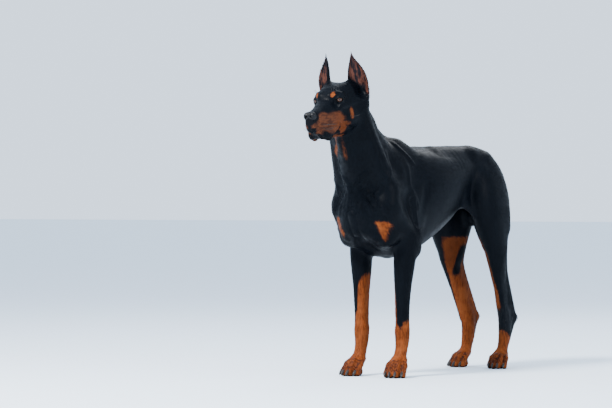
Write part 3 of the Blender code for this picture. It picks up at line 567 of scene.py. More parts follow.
def lay_details(flesh):
    """Lips, brows, ridges, furrows, tendons and veins that only the skin shows."""
    for side in HANDS:
        for thick, proud, line in RIDGES:
            lay_ridge(flesh, line, thick, proud, side)
        lay_mouth(flesh, side)
        brow = head_side((0.000, 0.030, 0.020), side)
        flesh.muscle(brow, head_side((0.012, 0.016, 0.012), side), 0.0040, 0.0034, blend=0.008)
        # breast, with its middle furrow and the furrows of the shoulder
        flesh.strap(side, (0.030, -0.128, 0.468), (0.050, -0.106, 0.415), 0.017, 0.014)
        flesh.muscle((0, -0.150, 0.475), (0, -0.108, 0.385), 0.0060, 0.0045, blend=0.016, carve=True)
        flesh.strap(side, (0.030, -0.150, 0.560), (0.066, -0.112, 0.500), 0.0055, 0.0065, blend=0.014,
                    carve=True)
        flesh.strap(side, (0.112, 0.078, 0.560), (0.112, 0.060, 0.440), 0.006, blend=0.02, carve=True)
        flesh.strap(side, (0.099, 0.010, 0.520), (0.103, 0.034, 0.420), 0.010, 0.008, blend=0.016)
        for start, end, thick, thin, blend in TENDONS:
            flesh.strap(side, start, end, thick, thin, blend=blend)
        for fetlock, size, turn in paws(side):
            rows = list(toes(fetlock, size, side, turn))
            for (_, knuckle, tip), (_, other, last) in zip(rows, rows[1:]):
                low = (tip + last) / 2 + Vector((0, 0, 0.004))
                flesh.muscle((knuckle + other) / 2 + Vector((0, 0, 0.010)), low, 0.0026, 0.0034, blend=0.004,
                             carve=True)


def whole_dog():
    flesh = Flesh()
    for side in HANDS:
        lay_ear(flesh, side)
        lay_ear_cup(flesh, side, carve=True)
    lay_torso(flesh)
    lay_neck(flesh)
    for side in HANDS:
        lay_shoulder(flesh, side)
        lay_foreleg(flesh, side)
        lay_haunch(flesh, side)
    flesh.muscle(TAIL_ROOT, TAIL_TIP, 0.0200, 0.0125, blend=0.02)
    lay_head(flesh)
    return flesh


# Meshes

def add_body(name, shape=None):
    """A new object at the origin, from a bmesh where one is given."""
    mesh = bpy.data.meshes.new(name)
    if shape is not None:
        shape.to_mesh(mesh)
        shape.free()
    body = bpy.data.objects.new(name, mesh)
    bpy.context.scene.collection.objects.link(body)
    return body


def corners_of(body, what="co"):
    """Places of a body's corners, or another vector they hold."""
    corners = np.empty(len(body.data.vertices) * 3)
    body.data.vertices.foreach_get(what, corners)
    return corners.reshape(-1, 3)


def facing_of(body):
    return corners_of(body, "normal")


def move_corners(body, corners):
    body.data.vertices.foreach_set("co", corners.ravel())
    body.data.update()


def apply_all(body):
    """Bakes the modifiers of a body into its mesh."""
    baked = bpy.data.meshes.new_from_object(body.evaluated_get(bpy.context.evaluated_depsgraph_get()))
    body.modifiers.clear()
    old = body.data
    body.data = baked
    bpy.data.meshes.remove(old)
    return body


def remesh(body, grain):
    voxels = body.modifiers.new("merge", "REMESH")
    voxels.mode = "VOXEL"
    voxels.voxel_size = grain
    return apply_all(body)


def combine(body, other, how, solver="MANIFOLD"):
    tool = body.modifiers.new(how, "BOOLEAN")
    tool.operation = how
    tool.solver = solver
    tool.object = other
    apply_all(body)
    bpy.data.objects.remove(other)


def relaxed(body, corners, amount=0.5):
    """Corners drawn towards the middle of their neighbours."""
    edges = np.empty(len(body.data.edges) * 2, int)
    body.data.edges.foreach_get("vertices", edges)
    one, two = edges.reshape(-1, 2).T
    count = len(corners)
    ways = np.maximum(np.bincount(one, minlength=count) + np.bincount(two, minlength=count), 1)
    middle = np.stack([np.bincount(one, corners[two, k], count) + np.bincount(two, corners[one, k], count)
                       for k in range(3)], 1) / ways[:, None]
    return corners + amount * (middle - corners)


def draw_on(body, flesh, under, rounds, smooth=1):
    """Draws a mesh onto the flesh along its own normals, evening its corners on the way."""
    for _ in range(rounds):
        points = corners_of(body)
        for _ in range(smooth):
            points = relaxed(body, points)
        move_corners(body, points)
        away = flesh.read(points) + under
        move_corners(body, points - facing_of(body) * np.clip(away, -LONGEST_DRAW, LONGEST_DRAW)[:, None])


def keep_largest(body):
    """Drops every closed surface of a body but the largest."""
    shape = bmesh.new()
    shape.from_mesh(body.data)
    seen, best = set(), []
    for start in shape.verts:
        if start in seen:
            continue
        shell, stack = [], [start]
        seen.add(start)
        while stack:
            corner = stack.pop()
            shell.append(corner)
            for edge in corner.link_edges:
                other = edge.other_vert(corner)
                if other not in seen:
                    seen.add(other)
                    stack.append(other)
        if len(shell) > len(best):
            best = shell
    keep = set(best)
    bmesh.ops.delete(shape, geom=[v for v in shape.verts if v not in keep], context="VERTS")
    shape.to_mesh(body.data)
    shape.free()


def placed(one, two, three, spot):
    """The turn that brings x, y and z to three directions, and the move to a spot."""
    place = Matrix((one, two, three)).transposed().to_4x4()
    place.translation = spot
    return place


def add_ring(shape, place, segments):
    """One ring of a tube, as its edges."""
    made = bmesh.ops.create_circle(shape, segments=segments, radius=1.0, matrix=place)["verts"]
    return list({edge for corner in made for edge in corner.link_edges})


def close_tube(shape, rings):
    """Faces from ring to ring and over both ends."""
    for one, two in zip(rings, rings[1:]):
        bmesh.ops.bridge_loops(shape, edges=one + two)
    for ring in (rings[0], rings[-1]):
        bmesh.ops.contextual_create(shape, geom=ring)


def loft(name, rows, across, segments=32):
    """A closed tube through rings. A row is its centre, half width and half depth."""
    rows = np.array(rows, float)
    tangents = np.gradient(rows[:, :3], axis=0)
    shape = bmesh.new()
    rings = []
    for row, tangent in zip(rows, tangents):
        along = Vector(tangent).normalized()
        wide = (Vector(across) - along * along.dot(Vector(across))).normalized()
        deep = along.cross(wide)
        place = placed(wide * row[3], deep * row[4], along, Vector(row[:3]) - MIDDLE)
        rings.append(add_ring(shape, place, segments))
    close_tube(shape, rings)
    bmesh.ops.recalc_face_normals(shape, faces=shape.faces)
    return add_body(name, shape)


def merged_copy(name, nodes, grain):
    """Packed nodes as one closed body of small even quads."""
    shape = bmesh.new()
    for node in nodes:
        shape.from_mesh(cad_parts[node].data)
    bmesh.ops.remove_doubles(shape, verts=shape.verts, dist=0.00001)
    body = remesh(add_body(name, shape), grain)
    keep_largest(body)
    return body


def split_edges_near(body, near):
    """Halves every edge that has both ends where near is true."""
    shape = bmesh.new()
    shape.from_mesh(body.data)
    shape.edges.ensure_lookup_table()
    picked = [edge for edge in shape.edges if near[edge.verts[0].index] and near[edge.verts[1].index]]
    bmesh.ops.subdivide_edges(shape, edges=picked, cuts=1)
    bmesh.ops.triangulate(shape, faces=[face for face in shape.faces if len(face.verts) > 3])
    shape.to_mesh(body.data)
    shape.free()


# Pieces

def eye_slit(side, sizes):
    """The space between the lids: a ball for the eye and an almond opening in front of it."""
    centre, look = eye_centre(side) - MIDDLE, gaze(side)
    flat = UP.cross(look).normalized()
    flat = (flat - UP * 0.16 * side).normalized()
    axes = placed(look, flat, look.cross(flat), (0, 0, 0))

    def ball(offset, radii):
        place = axes @ Matrix.Translation(offset) @ Matrix.Diagonal((*radii, 1))
        place.translation += centre
        shape = bmesh.new()
        bmesh.ops.create_uvsphere(shape, u_segments=48, v_segments=32, radius=1, matrix=place)
        return add_body("opening", shape)

    socket = EYE_RADIUS + 0.0004
    opening = ball((0, 0, 0), (socket, socket, socket))
    combine(opening, ball((0.0125, 0, 0), (0.0085, sizes.eye_width / 2, sizes.eye_height / 2)), "UNION")
    combine(opening, ball((0.0105, -0.0085 * side, -0.0004), (0.0060, 0.0036, 0.0016)), "UNION")
    return opening


def round_body(name, stations, across, flesh, grain, under=0.0, rounds=4):
    """A loft remeshed by voxels and drawn onto its own flesh."""
    body = loft(name, through(stations, 3), across)
    remesh(body, grain)
    draw_on(body, flesh, under, rounds)
    return body


def add_ear(skin, side, sizes):
    """Grows one cropped ear, hollows it and joins it to the skin."""
    across, _ = ear_turns(side)
    outside, inside, both = Flesh(), Flesh(), Flesh()
    lay_ear(outside, side)
    lay_ear_cup(inside, side)
    lay_ear(both, side)
    lay_ear_cup(both, side, carve=True)
    ear = round_body("ear", ear_stations(side), across, outside, sizes.ear_grain, sizes.depth)
    cup = round_body("cup", ear_cup_stations(side), across, inside, sizes.ear_grain, -sizes.depth)
    combine(ear, cup, "DIFFERENCE")
    remesh(ear, sizes.ear_grain)
    draw_on(ear, both, sizes.depth, 2)
    thin = ear.modifiers.new("thin", "DECIMATE")
    thin.ratio = sizes.ear_thinning
    apply_all(ear)
    combine(skin, ear, "UNION")


def near_to(points, centres, reach):
    """True where a point lies within reach of any centre."""
    near = np.zeros(len(points), bool)
    for centre in centres:
        near |= ((points - np.array(centre)) ** 2).sum(1) < reach**2
    return near


def open_eyes(skin, sizes):
    for side in HANDS:
        combine(skin, eye_slit(side, sizes), "DIFFERENCE")


def settle_seams(skin, flesh, sizes):
    """Evens the skin where the ears join it."""
    points = corners_of(skin)
    roots = [np.array(row[:3]) - ORIGIN for side in HANDS for row in ear_stations(side)[:2]]
    seam = near_to(points, roots, 0.040) & (np.abs(flesh.read(points)) > 0.0012)
    for _ in range(3):
        points[seam] = relaxed(skin, points)[seam]
        points[seam] = flesh.settle(points[seam], 1, sizes.depth)
    move_corners(skin, points)


def grow_skin(sizes):
    """The skin of the whole dog, finest round the eyes, nose, mouth and toes."""
    plain = whole_dog()
    skin = merged_copy("skin", FLESH_NODES, sizes.grain)
    draw_on(skin, plain, sizes.depth, 4, smooth=2)
    points = corners_of(skin)
    split_edges_near(skin, near_to(points, [on_head(-0.01, 0, -0.02) - MIDDLE], 0.130)
                     | (points[:, 2] < 0.075))
    eyes = [eye_centre(side) - MIDDLE for side in HANDS]
    lips = [point - ORIGIN for side in HANDS for point in mouth_path(plain, side)]
    tip = [on_head(0.105, 0, -0.035) - MIDDLE]
    for round_eyes, round_lips, round_tip in ((0.024, 0.009, 0.030), (0.017, 0.005, 0.018)):
        points = corners_of(skin)
        split_edges_near(skin, near_to(points, eyes, round_eyes) | near_to(points, lips, round_lips)
                         | near_to(points, tip, round_tip))
    flesh = whole_dog()
    lay_details(flesh)
    points = flesh.settle(corners_of(skin), 3, sizes.depth)
    points[:, 2] = np.maximum(points[:, 2], 0.0)
    move_corners(skin, points)
    for side in HANDS:
        add_ear(skin, side, sizes)
    keep_largest(skin)
    settle_seams(skin, flesh, sizes)
    open_eyes(skin, sizes)
    keep_largest(skin)
    return skin


def horn(shape, root, end, thick, bend, rings=7, segments=10):
    """A curved claw, thickest at its root."""
    line = end - root
    sideways = line.cross(Vector((0, 0, 1))).normalized()
    arch = sideways.cross(line).normalized()
    loops = []
    for i in range(rings):
        t = i / (rings - 1)
        centre = root + line * t + arch * bend * 4 * t * (1 - t)
        along = (line + arch * bend * 4 * (1 - 2 * t)).normalized()
        deep = along.cross(sideways)
        reach = thick * (1 - t**2.2) ** 0.5 + 0.0003
        place = placed(sideways * reach * 0.8, deep * reach, along, centre - MIDDLE)
        loops.append(add_ring(shape, place, segments))
    close_tube(shape, loops)


def make_claws(sizes):
    """Sixteen dark claws, one on each toe."""
    shape = bmesh.new()
    for side in HANDS:
        for fetlock, size, turn in paws(side):
            ahead, _ = paw_axes(side, turn)
            for _, _, tip in toes(fetlock, size, side, turn):
                root = tip + ahead * 0.0035 * size + Vector((0, 0, 0.0030 * size))
                end = tip + ahead * 0.0182 * size
                end.z = 0.0032 * size
                horn(shape, root, end, sizes.claws * size, 0.0012)
    bmesh.ops.recalc_face_normals(shape, faces=shape.faces)
    return smooth(add_body("claws", shape))


def smooth(body):
    body.data.shade_smooth()
    return body


def nostril(start, end, thick):
    """A long hole between two places of the head."""
    way = end - start
    place = way.to_track_quat("Z", "Y").to_matrix().to_4x4()
    place.translation = (start + end) / 2 - MIDDLE
    hole = bmesh.new()
    bmesh.ops.create_uvsphere(hole, u_segments=20, v_segments=14, radius=1,
                              matrix=place @ Matrix.Diagonal((thick, thick, way.length / 2, 1)))
    return add_body("nostril", hole)


def make_nose():
    """The moist leather of the nose, with comma nostrils and a groove below them."""
    flesh = Flesh()
    flesh.lump(on_head(0.1095, 0, -0.0295), (0.0120, 0.0180, 0.0150), 0.004, HEAD_AXES)
    for side in HANDS:
        flesh.lump(head_side((0.1135, 0.0112, -0.0275), side), (0.0082, 0.0068, 0.0100), 0.006, HEAD_AXES)
    flesh.lump(on_head(0.1095, 0, -0.0420), (0.0085, 0.0095, 0.0080), 0.006, HEAD_AXES)
    flesh.muscle(on_head(0.1235, 0, -0.0260), on_head(0.1190, 0, -0.0500), 0.0009, blend=0.0030, carve=True)
    shape = bmesh.new()
    middle = Matrix.Translation(on_head(0.1080, 0, -0.0310) - MIDDLE)
    bmesh.ops.create_icosphere(shape, subdivisions=5, radius=1,
                               matrix=middle @ Matrix.Diagonal((0.019, 0.014, 0.018, 1)))
    nose = add_body("nose_leather", shape)
    remesh(nose, NOSE_GRAIN)
    draw_on(nose, flesh, 0.0, 6)
    for side in HANDS:
        for start, end, thick in (((0.126, 0.0062, -0.0290), (0.113, 0.0085, -0.0262), 0.0034),
                                  ((0.124, 0.0085, -0.0300), (0.115, 0.0158, -0.0325), 0.0018)):
            combine(nose, nostril(head_side(start, side), head_side(end, side), thick), "DIFFERENCE")
    remesh(nose, NOSTRIL_GRAIN)
    points = corners_of(nose)
    for _ in range(2):
        points = relaxed(nose, points, 0.6)
    move_corners(nose, points)
    return smooth(nose)


def make_eye(side, sizes):
    """One eyeball with its clear bulge, its pole turned to where the dog looks."""
    look = gaze(side)
    centre = eye_centre(side) - MIDDLE
    turn = look.to_track_quat("Z", "Y").to_matrix().to_4x4()
    shape = bmesh.new()
    bmesh.ops.create_uvsphere(shape, u_segments=64, v_segments=64, radius=EYE_RADIUS - 0.0002)
    clear = sizes.iris * 1.15
    for corner in shape.verts:
        off = math.hypot(corner.co.x, corner.co.y)
        if corner.co.z > 0 and off < clear:
            corner.co.z += EYE_BULGE * (1 - (off / clear) ** 2)
    bmesh.ops.transform(shape, verts=shape.verts, matrix=Matrix.Translation(centre) @ turn)
    back = turn.inverted()
    spots = [back @ (corner.co - centre) for corner in shape.verts]
    from_pupil = [math.hypot(*spot.xy) * 1000 + (BEHIND_THE_EYE if spot.z < 0 else 0) for spot in spots]
    eye = smooth(add_body("eye_wet_" + HANDS[side], shape))
    set_value(eye, "from_pupil", np.array(from_pupil))
    return eye


def set_value(body, name, values):
    """Keeps one number for each corner of a body."""
    kept = body.data.attributes.new(name, "FLOAT", "POINT")
    kept.data.foreach_set("value", np.asarray(values, np.float32))


def make_whiskers(sizes):
    """Stiff dark whiskers on the lips, cheeks and brows."""
    chance = np.random.default_rng(11)
    shape = bmesh.new()
    roots = [(0.088 - 0.014 * i, 0.026, -0.058 - 0.010 * j) for i in range(4) for j in range(2)]
    roots += [(0.010, 0.027, 0.024), (0.014, 0.022, 0.026), (-0.030, 0.052, -0.052)]
    for side in HANDS:
        for ahead, left, up in roots:
            root = on_head(ahead + chance.normal(0, 0.0015), left * side, up + chance.normal(0, 0.001))
            way = LEFT * side * 0.75 - AHEAD * (0.35 + 0.2 * chance.random()) - UP * (0.25 * chance.random())
            if up > 0:
                way = LEFT * side * 0.3 + UP * 0.7 + AHEAD * 0.3
            length = sizes.whiskers * (0.6 + 0.6 * chance.random()) * (0.45 if up > 0 else 1.0)
            horn(shape, root - way * 0.004, root + way.normalized() * length, 0.00016, -length * 0.12,
                 rings=8, segments=5)
    bmesh.ops.recalc_face_normals(shape, faces=shape.faces)
    return smooth(add_body("whiskers", shape))


# Markings

FAR_FROM_RUST = -0.03
FAR_FROM_BARE = -0.02

# Which way the hair runs.
TRUNK_LIE = (0, 0.80, -0.55)
NECK_LIE = (0, 0.22, -0.95)
BREECH_LIE = (0, 0.20, -0.98)
LEG_LIE = (0, 0.08, -1.0)
FOOT_LIE = (0, -0.85, -0.50)


def head_place(points):
    """Points in the head's own axes: ahead, left and up from between the eyes."""
    away = points + ORIGIN - np.array(EYES)
    return away @ np.array(AHEAD), away @ np.array(LEFT), away @ np.array(UP)


def oval(a, b, centre, radii):
    """How far inside an oval, in metres."""
    return (1 - np.hypot((a - centre[0]) / radii[0], (b - centre[1]) / radii[1])) * min(radii)


def rod(points, start, end, thick, thin=None):
    """How far inside a rod of flesh between two places."""
    thin = thick if thin is None else thin
    start, end = np.array(start, float), np.array(end, float)
    line = end - start
    t = np.clip((points - start) @ line / (line @ line), 0, 1)
    return thick + (thin - thick) * t - np.linalg.norm(points - start - t[:, None] * line, axis=1)


def step(x, low, high):
    t = np.clip((x - low) / (high - low), 0, 1)
    return t * t * (3 - 2 * t)


def lie_shares(points):
    """How much of each point's hair lies as on the head, on the legs and on the neck."""
    a, _, w = head_place(points)
    _, y, z = (points + ORIGIN).T
    head = step(a, -0.14, -0.08) * step(w, -0.16, -0.09)
    return head, step(-z, -0.42, -0.34), step(z, 0.46, 0.56) * step(-y, 0.02, 0.10)


def face_rust(a, l, w, nz):
    """How far inside the rust of muzzle, throat, brows and cheeks."""
    muzzle = np.maximum.reduce([oval(a, w, (0.036, -0.060), (0.050, 0.030)),
                                oval(a, w, (-0.008, -0.080), (0.023, 0.017)),
                                oval(a, w, (0.078, -0.050), (0.030, 0.026))])
    muzzle = np.minimum(muzzle, np.abs(l) - 0.011)
    front = oval(np.abs(l), w, (0.0145, -0.069), (0.0095, 0.019))
    muzzle = np.maximum(muzzle, np.where(a > 0.088, front, FAR_FROM_RUST))
    muzzle = np.minimum(muzzle, np.where(a > 0.0, w - lip_height(a), 0.02))
    under_jaw = np.minimum((-nz - 0.45) * 0.02, np.minimum(0.085 - a, a + 0.030))
    under_jaw = np.where(w < -0.080, np.minimum(under_jaw, 0.020 - np.abs(l)), FAR_FROM_RUST)
    brow = oval(np.abs(l), w, (0.0255, 0.0170), (0.0052, 0.0068))
    brow = np.where(a > -0.03, brow, FAR_FROM_RUST)
    cheek = oval(a, w, (-0.034, -0.045), (0.0060, 0.0160))
    cheek = np.where(np.abs(l) > 0.03, cheek, FAR_FROM_RUST)
    return np.maximum.reduce([muzzle, under_jaw, brow, cheek])


def lip_height(a):
    along, _, height = zip(*reversed(LIPS))
    return np.interp(a, along, height)


def chest_rust(p):
    flat = p * (1, 0.4, 1)
    return np.maximum.reduce([
        rod(flat, (0.079, -0.044, 0.443), (0.077, -0.040, 0.408), 0.0125, 0.0040),
        rod(flat, (0.070, -0.049, 0.450), (0.092, -0.038, 0.446), 0.0060, 0.0060),
        rod(flat, (-0.070, -0.048, 0.455), (-0.050, -0.049, 0.424), 0.0130, 0.0080)])


def foreleg_rust(z, hand, inner):
    """The rust reaches higher on the inside of each fore leg, and higher still on the right."""
    left = np.interp(inner, [-1, -0.5, 0, 0.24, 0.53, 0.8, 1],
                     [0.167, 0.138, 0.145, 0.153, 0.235, 0.290, 0.300])
    right = np.interp(inner, [-1, -0.5, 0, 0.2, 0.5, 1], [0.149, 0.150, 0.196, 0.256, 0.280, 0.300])
    return np.where(hand > 0, left, right) - z


def hindleg_rust(p, hand, inner, ny):
    """A stripe up the inside of the leg with a dark patch in it, of black hair and painted shade, and all of
    the foot.
    """
    _, y, z = p.T
    edge = np.interp(z, [0.12, 0.19, 0.24, 0.29, 0.38, 0.42], [-0.35, -0.3, -0.1, 0.28, 0.4, 0.7])
    stripe = np.minimum.reduce([(inner - edge) * 0.022, 0.405 - z, (0.35 - ny) * 0.02])
    lower_edge = np.where(hand > 0, (inner - 0.72) * 0.02, (inner + 0.65) * 0.02)
    stripe = np.where(z < np.where(hand > 0, 0.186, 0.100), np.minimum(stripe, lower_edge), stripe)
    # dark patch inside the thigh: part black hair, part painted shade
    black_and_shade_patch = rod(p * (0, 1, 1), (0, 0.485, 0.300), (0, 0.490, 0.370), 0.014)
    foot = 0.117 - (y - 0.534) * 0.6 - z
    return np.maximum(np.minimum(stripe, -black_and_shade_patch), foot)


def toe_streaks(p, rust):
    """Takes the dark pencilling of the toes out of the rust."""
    for side in HANDS:
        for fetlock, size, turn in paws(side):
            for _, knuckle, tip in toes(fetlock, size, side, turn):
                streak = rod(p, knuckle + Vector((0, 0, 0.010)) * size, tip + Vector((0, 0, 0.007)) * size,
                             0.0038, 0.0056)
                rust = np.minimum(rust, -streak * 0.9)
    return rust


def bare_skin(p, a, l, w, nz, on_face):
    """How far inside the bare skin of pads, lids, lips and nose."""
    bare = np.where(p[:, 2] < 0.02, (-nz - 0.55) * 0.02, FAR_FROM_BARE)
    for side in HANDS:
        pad = rod(p, on_side((0.0765, 0.018, 0.112), side), on_side((0.0765, 0.018, 0.110), side), 0.0065)
        rim = 0.0140 - np.linalg.norm(p - np.array(eye_centre(side) + gaze(side) * 0.0085), axis=1)
        rim = np.minimum(rim, 0.0062 - np.abs((p - np.array(eye_centre(side))) @ np.array(UP)))
        bare = np.maximum.reduce([bare, pad, rim])
    lips = np.where(on_face & (a > 0.022) & (w < -0.055), 0.0026 - np.abs(w - lip_height(a)), FAR_FROM_BARE)
    nose = np.where(on_face & (a > 0.096), oval(l, w, (0, -0.034), (0.0205, 0.0190)), FAR_FROM_BARE)
    return np.maximum.reduce([bare, lips, nose])


def inside_ears(points, a, l, w):
    """1 on the thin skin inside the ears, 0 elsewhere."""
    cup = Flesh()
    for side in HANDS:
        lay_ear_cup(cup, side)
    in_ear = np.full(len(points), 0.0)
    near = np.where((w > -0.03) & (a < -0.04) & (a > -0.16))[0]
    if len(near):
        in_ear[near] = step(0.0018 - cup.read(points[near]), 0.0, 0.0014) * step(w[near], -0.012, 0.004)
        in_ear[near] *= step(np.abs(l[near]) - 0.030 - 0.75 * np.clip(0.058 - w[near], 0, 1), -0.005, 0.005)
    return in_ear


def marks_at(points, normals):
    """What the coat does at each point: lengths in mm inside each mark, shares from 0 to 1."""
    a, l, w = head_place(points)
    p = points + ORIGIN
    x, y, z = p.T
    nx, ny, nz = normals.T
    hand = np.where(x > 0, 1.0, -1.0)
    inner = -nx * hand
    on_face = (a > -0.11) & (np.abs(l) < 0.075) & (w > -0.125) & (w < 0.06) & (y < -0.15)
    fore = (y < 0.12) & (z < 0.36)
    hind = (y > 0.36) & (z < 0.44)
    throat = np.maximum(rod(p, on_head(-0.022, 0.012, -0.108), (0.007, -0.200, 0.640), 0.010, 0.0075),
                        rod(p, on_head(-0.030, -0.016, -0.106), (-0.046, -0.172, 0.655), 0.010, 0.009))
    rust = toe_streaks(p, np.maximum.reduce([
        np.where(on_face, face_rust(a, l, w, nz), FAR_FROM_RUST),
        throat,
        np.where(y < -0.03, chest_rust(p), FAR_FROM_RUST),
        np.where(fore, foreleg_rust(z, hand, inner), FAR_FROM_RUST),
        np.where(hind, hindleg_rust(p, hand, inner, ny), FAR_FROM_RUST),
        rod(p, (0, 0.535, 0.600), (0, 0.552, 0.608), 0.014)]))
    # the left hock's coat: greyish black hair, painted paler still as a sheen
    hock_grey_and_sheen = step(z, 0.10, 0.13) * step(-z, -0.20, -0.178) * step(0.75 - inner, -0.1, 0.15)
    in_ear = inside_ears(points, a, l, w)
    dull = np.where(on_face, (0.45 + 0.55 * step(a, -0.02, 0.055)) * step(-w, -0.01, 0.01), 0.0)
    of_head, of_leg, of_neck = lie_shares(points)
    return {
        "rust": rust * 1000,
        "bare": bare_skin(p, a, l, w, nz, on_face) * 1000,
        "in_ear": in_ear,
        "up_ear": step(w, 0.060, 0.112) * in_ear,
        "dull": np.maximum(dull, step(throat + 0.004, 0.0, 0.002) * 0.5),
        # painted shade: the rust inside the hind thighs, darker towards the groin
        "deep": step(z, 0.24, 0.34) * hind * step(inner, -0.2, 0.5),
        "hock_grey_and_sheen": np.where(hind & (hand > 0), hock_grey_and_sheen, 0.0),
        "soft": np.select([on_face & (w > -0.005), on_face & (np.abs(l) > 0.048), on_face, fore & (hand < 0),
                           fore, hind], [1.3, 2.5, 5.0, 10.0, 6.0, 5.0], 5.5),
        "of_leg": of_leg,
        "of_head": of_head,
        "of_neck": of_neck,
    }


def lie_of_coat(points):
    """Which way the hair runs over each point."""
    _, l, w = head_place(points)
    x, y, z = (points + ORIGIN).T
    head, leg, neck = lie_shares(points)

    def turned(share, towards):
        return way * (1 - share)[:, None] + np.array(towards) * share[:, None]

    way = np.array(TRUNK_LIE) + np.where(x > 0, 1.0, -1.0)[:, None] * (0.10, 0, 0)
    way = turned(neck * (1 - head), NECK_LIE)
    way = turned(step(y, 0.47, 0.53) * step(z, 0.30, 0.40), BREECH_LIE)
    way = turned(leg, LEG_LIE)
    way = turned(step(-z, -0.055, -0.030), FOOT_LIE)
    out = 0.45 * np.sign(l)[:, None] * np.array(LEFT) * step(np.abs(l), 0.004, 0.03)[:, None]
    way = turned(head, out - np.array(AHEAD))
    return unit(turned(step(w, 0.012, 0.035), UP))


# Coat

REGION_TILES = {"head": 0, "neck": 1, "trunk": 2, "fore_left": 3, "fore_right": 4, "hind_left": 5,
                "hind_right": 6, "ear_left": 7, "ear_right": 8}

# A tuft is a root, the two sides and the back of its middle, and a tip.
TUFT_CORNERS = 5
TUFT_FACES = np.array(((0, 1, 3), (0, 3, 2), (0, 2, 1), (4, 3, 1), (4, 2, 3), (4, 1, 2)))
TUFT_UNWRAP = np.array(((0, -1), (-1, 0), (1, 0), (0, 0), (0, 1))) * 0.0015
LOWEST_TUFT = 0.0003  # height of the lowest hair above the floor


def unwrapped(points):
    """Each point's place on an unwrap of the skin: nine tiles, round and along each limb."""
    a, l, w = head_place(points)
    p = points + ORIGIN
    x, y, z = p.T
    tile = np.full(len(p), REGION_TILES["trunk"])
    round_it = np.arctan2(x, z - 0.53)
    along = (y + 0.15) / 0.75
    neck = (y < 0.02) & (z > 0.55 - 0.6 * (y + 0.10))
    tile[neck] = REGION_TILES["neck"]
    round_it = np.where(neck, np.arctan2(x, -(y + 0.11) - (z - 0.67) * 0.7), round_it)
    along = np.where(neck, (z - 0.48) / 0.42, along)
    for side, hand in HANDS.items():
        leg = (x * side > 0) & (z < 0.40) & (y < 0.14)
        tile[leg] = REGION_TILES["fore_" + hand]
        foot = np.where(z < 0.06, 0.03, 0)
        round_it = np.where(leg, np.arctan2(x - 0.075 * side, y + 0.002 + foot), round_it)
        leg = (x * side > 0) & (z < 0.44) & (y > 0.38)
        tile[leg] = REGION_TILES["hind_" + hand]
        middle = np.interp(z, [0.0, 0.15, 0.30, 0.44], [0.52, 0.555, 0.497, 0.465])
        round_it = np.where(leg, np.arctan2(x - 0.073 * side, y - middle), round_it)
        leg |= (x * side > 0) & (z < 0.40) & (y < 0.14)
        along = np.where(leg, z / 0.45, along)
    head = (a > -0.13) & (w > -0.13) & (np.abs(l) < 0.09) & (y < -0.12)
    tile[head] = REGION_TILES["head"]
    round_it = np.where(head, np.arctan2(l, w + 0.045), round_it)
    along = np.where(head, (a + 0.14) / 0.28, along)
    for side, hand in HANDS.items():
        ear = head & (w > 0.030) & (l * side > 0.012) & (a < -0.055)
        tile[ear] = REGION_TILES["ear_" + hand]
        round_it = np.where(ear, np.arctan2(l * side - 0.050, a + 0.090), round_it)
        along = np.where(ear, (w - 0.02) / 0.12, along)
    u = (tile % 3 + 0.02 + 0.96 * (round_it / (2 * math.pi) + 0.5)) / 3
    v = (tile // 3 + 0.02 + 0.96 * np.clip(along, 0, 1)) / 3
    return np.stack([u, v], 1)


def scatter(skin, share, count, seed):
    """Roots on the skin's faces, more where the share is high, with the way the skin faces there."""
    chance = np.random.default_rng(seed)
    mesh = skin.data
    mesh.calc_loop_triangles()
    corners = np.empty(len(mesh.loop_triangles) * 3, int)
    mesh.loop_triangles.foreach_get("vertices", corners)
    corners = corners.reshape(-1, 3)
    points, facing = corners_of(skin), facing_of(skin)
    one, two, three = (points[corners[:, k]] for k in range(3))
    area = np.linalg.norm(np.cross(two - one, three - one), axis=1) / 2
    chances = area * share[corners].mean(1)
    picked = chance.choice(len(corners), count, p=chances / chances.sum())
    u, v = chance.random((2, count))
    flip = u + v > 1
    u[flip], v[flip] = 1 - u[flip], 1 - v[flip]
    blend = np.stack([1 - u - v, u, v], 1)[:, :, None]
    roots = (points[corners[picked]] * blend).sum(1)
    normals = (facing[corners[picked]] * blend).sum(1)
    return roots, unit(normals), chance


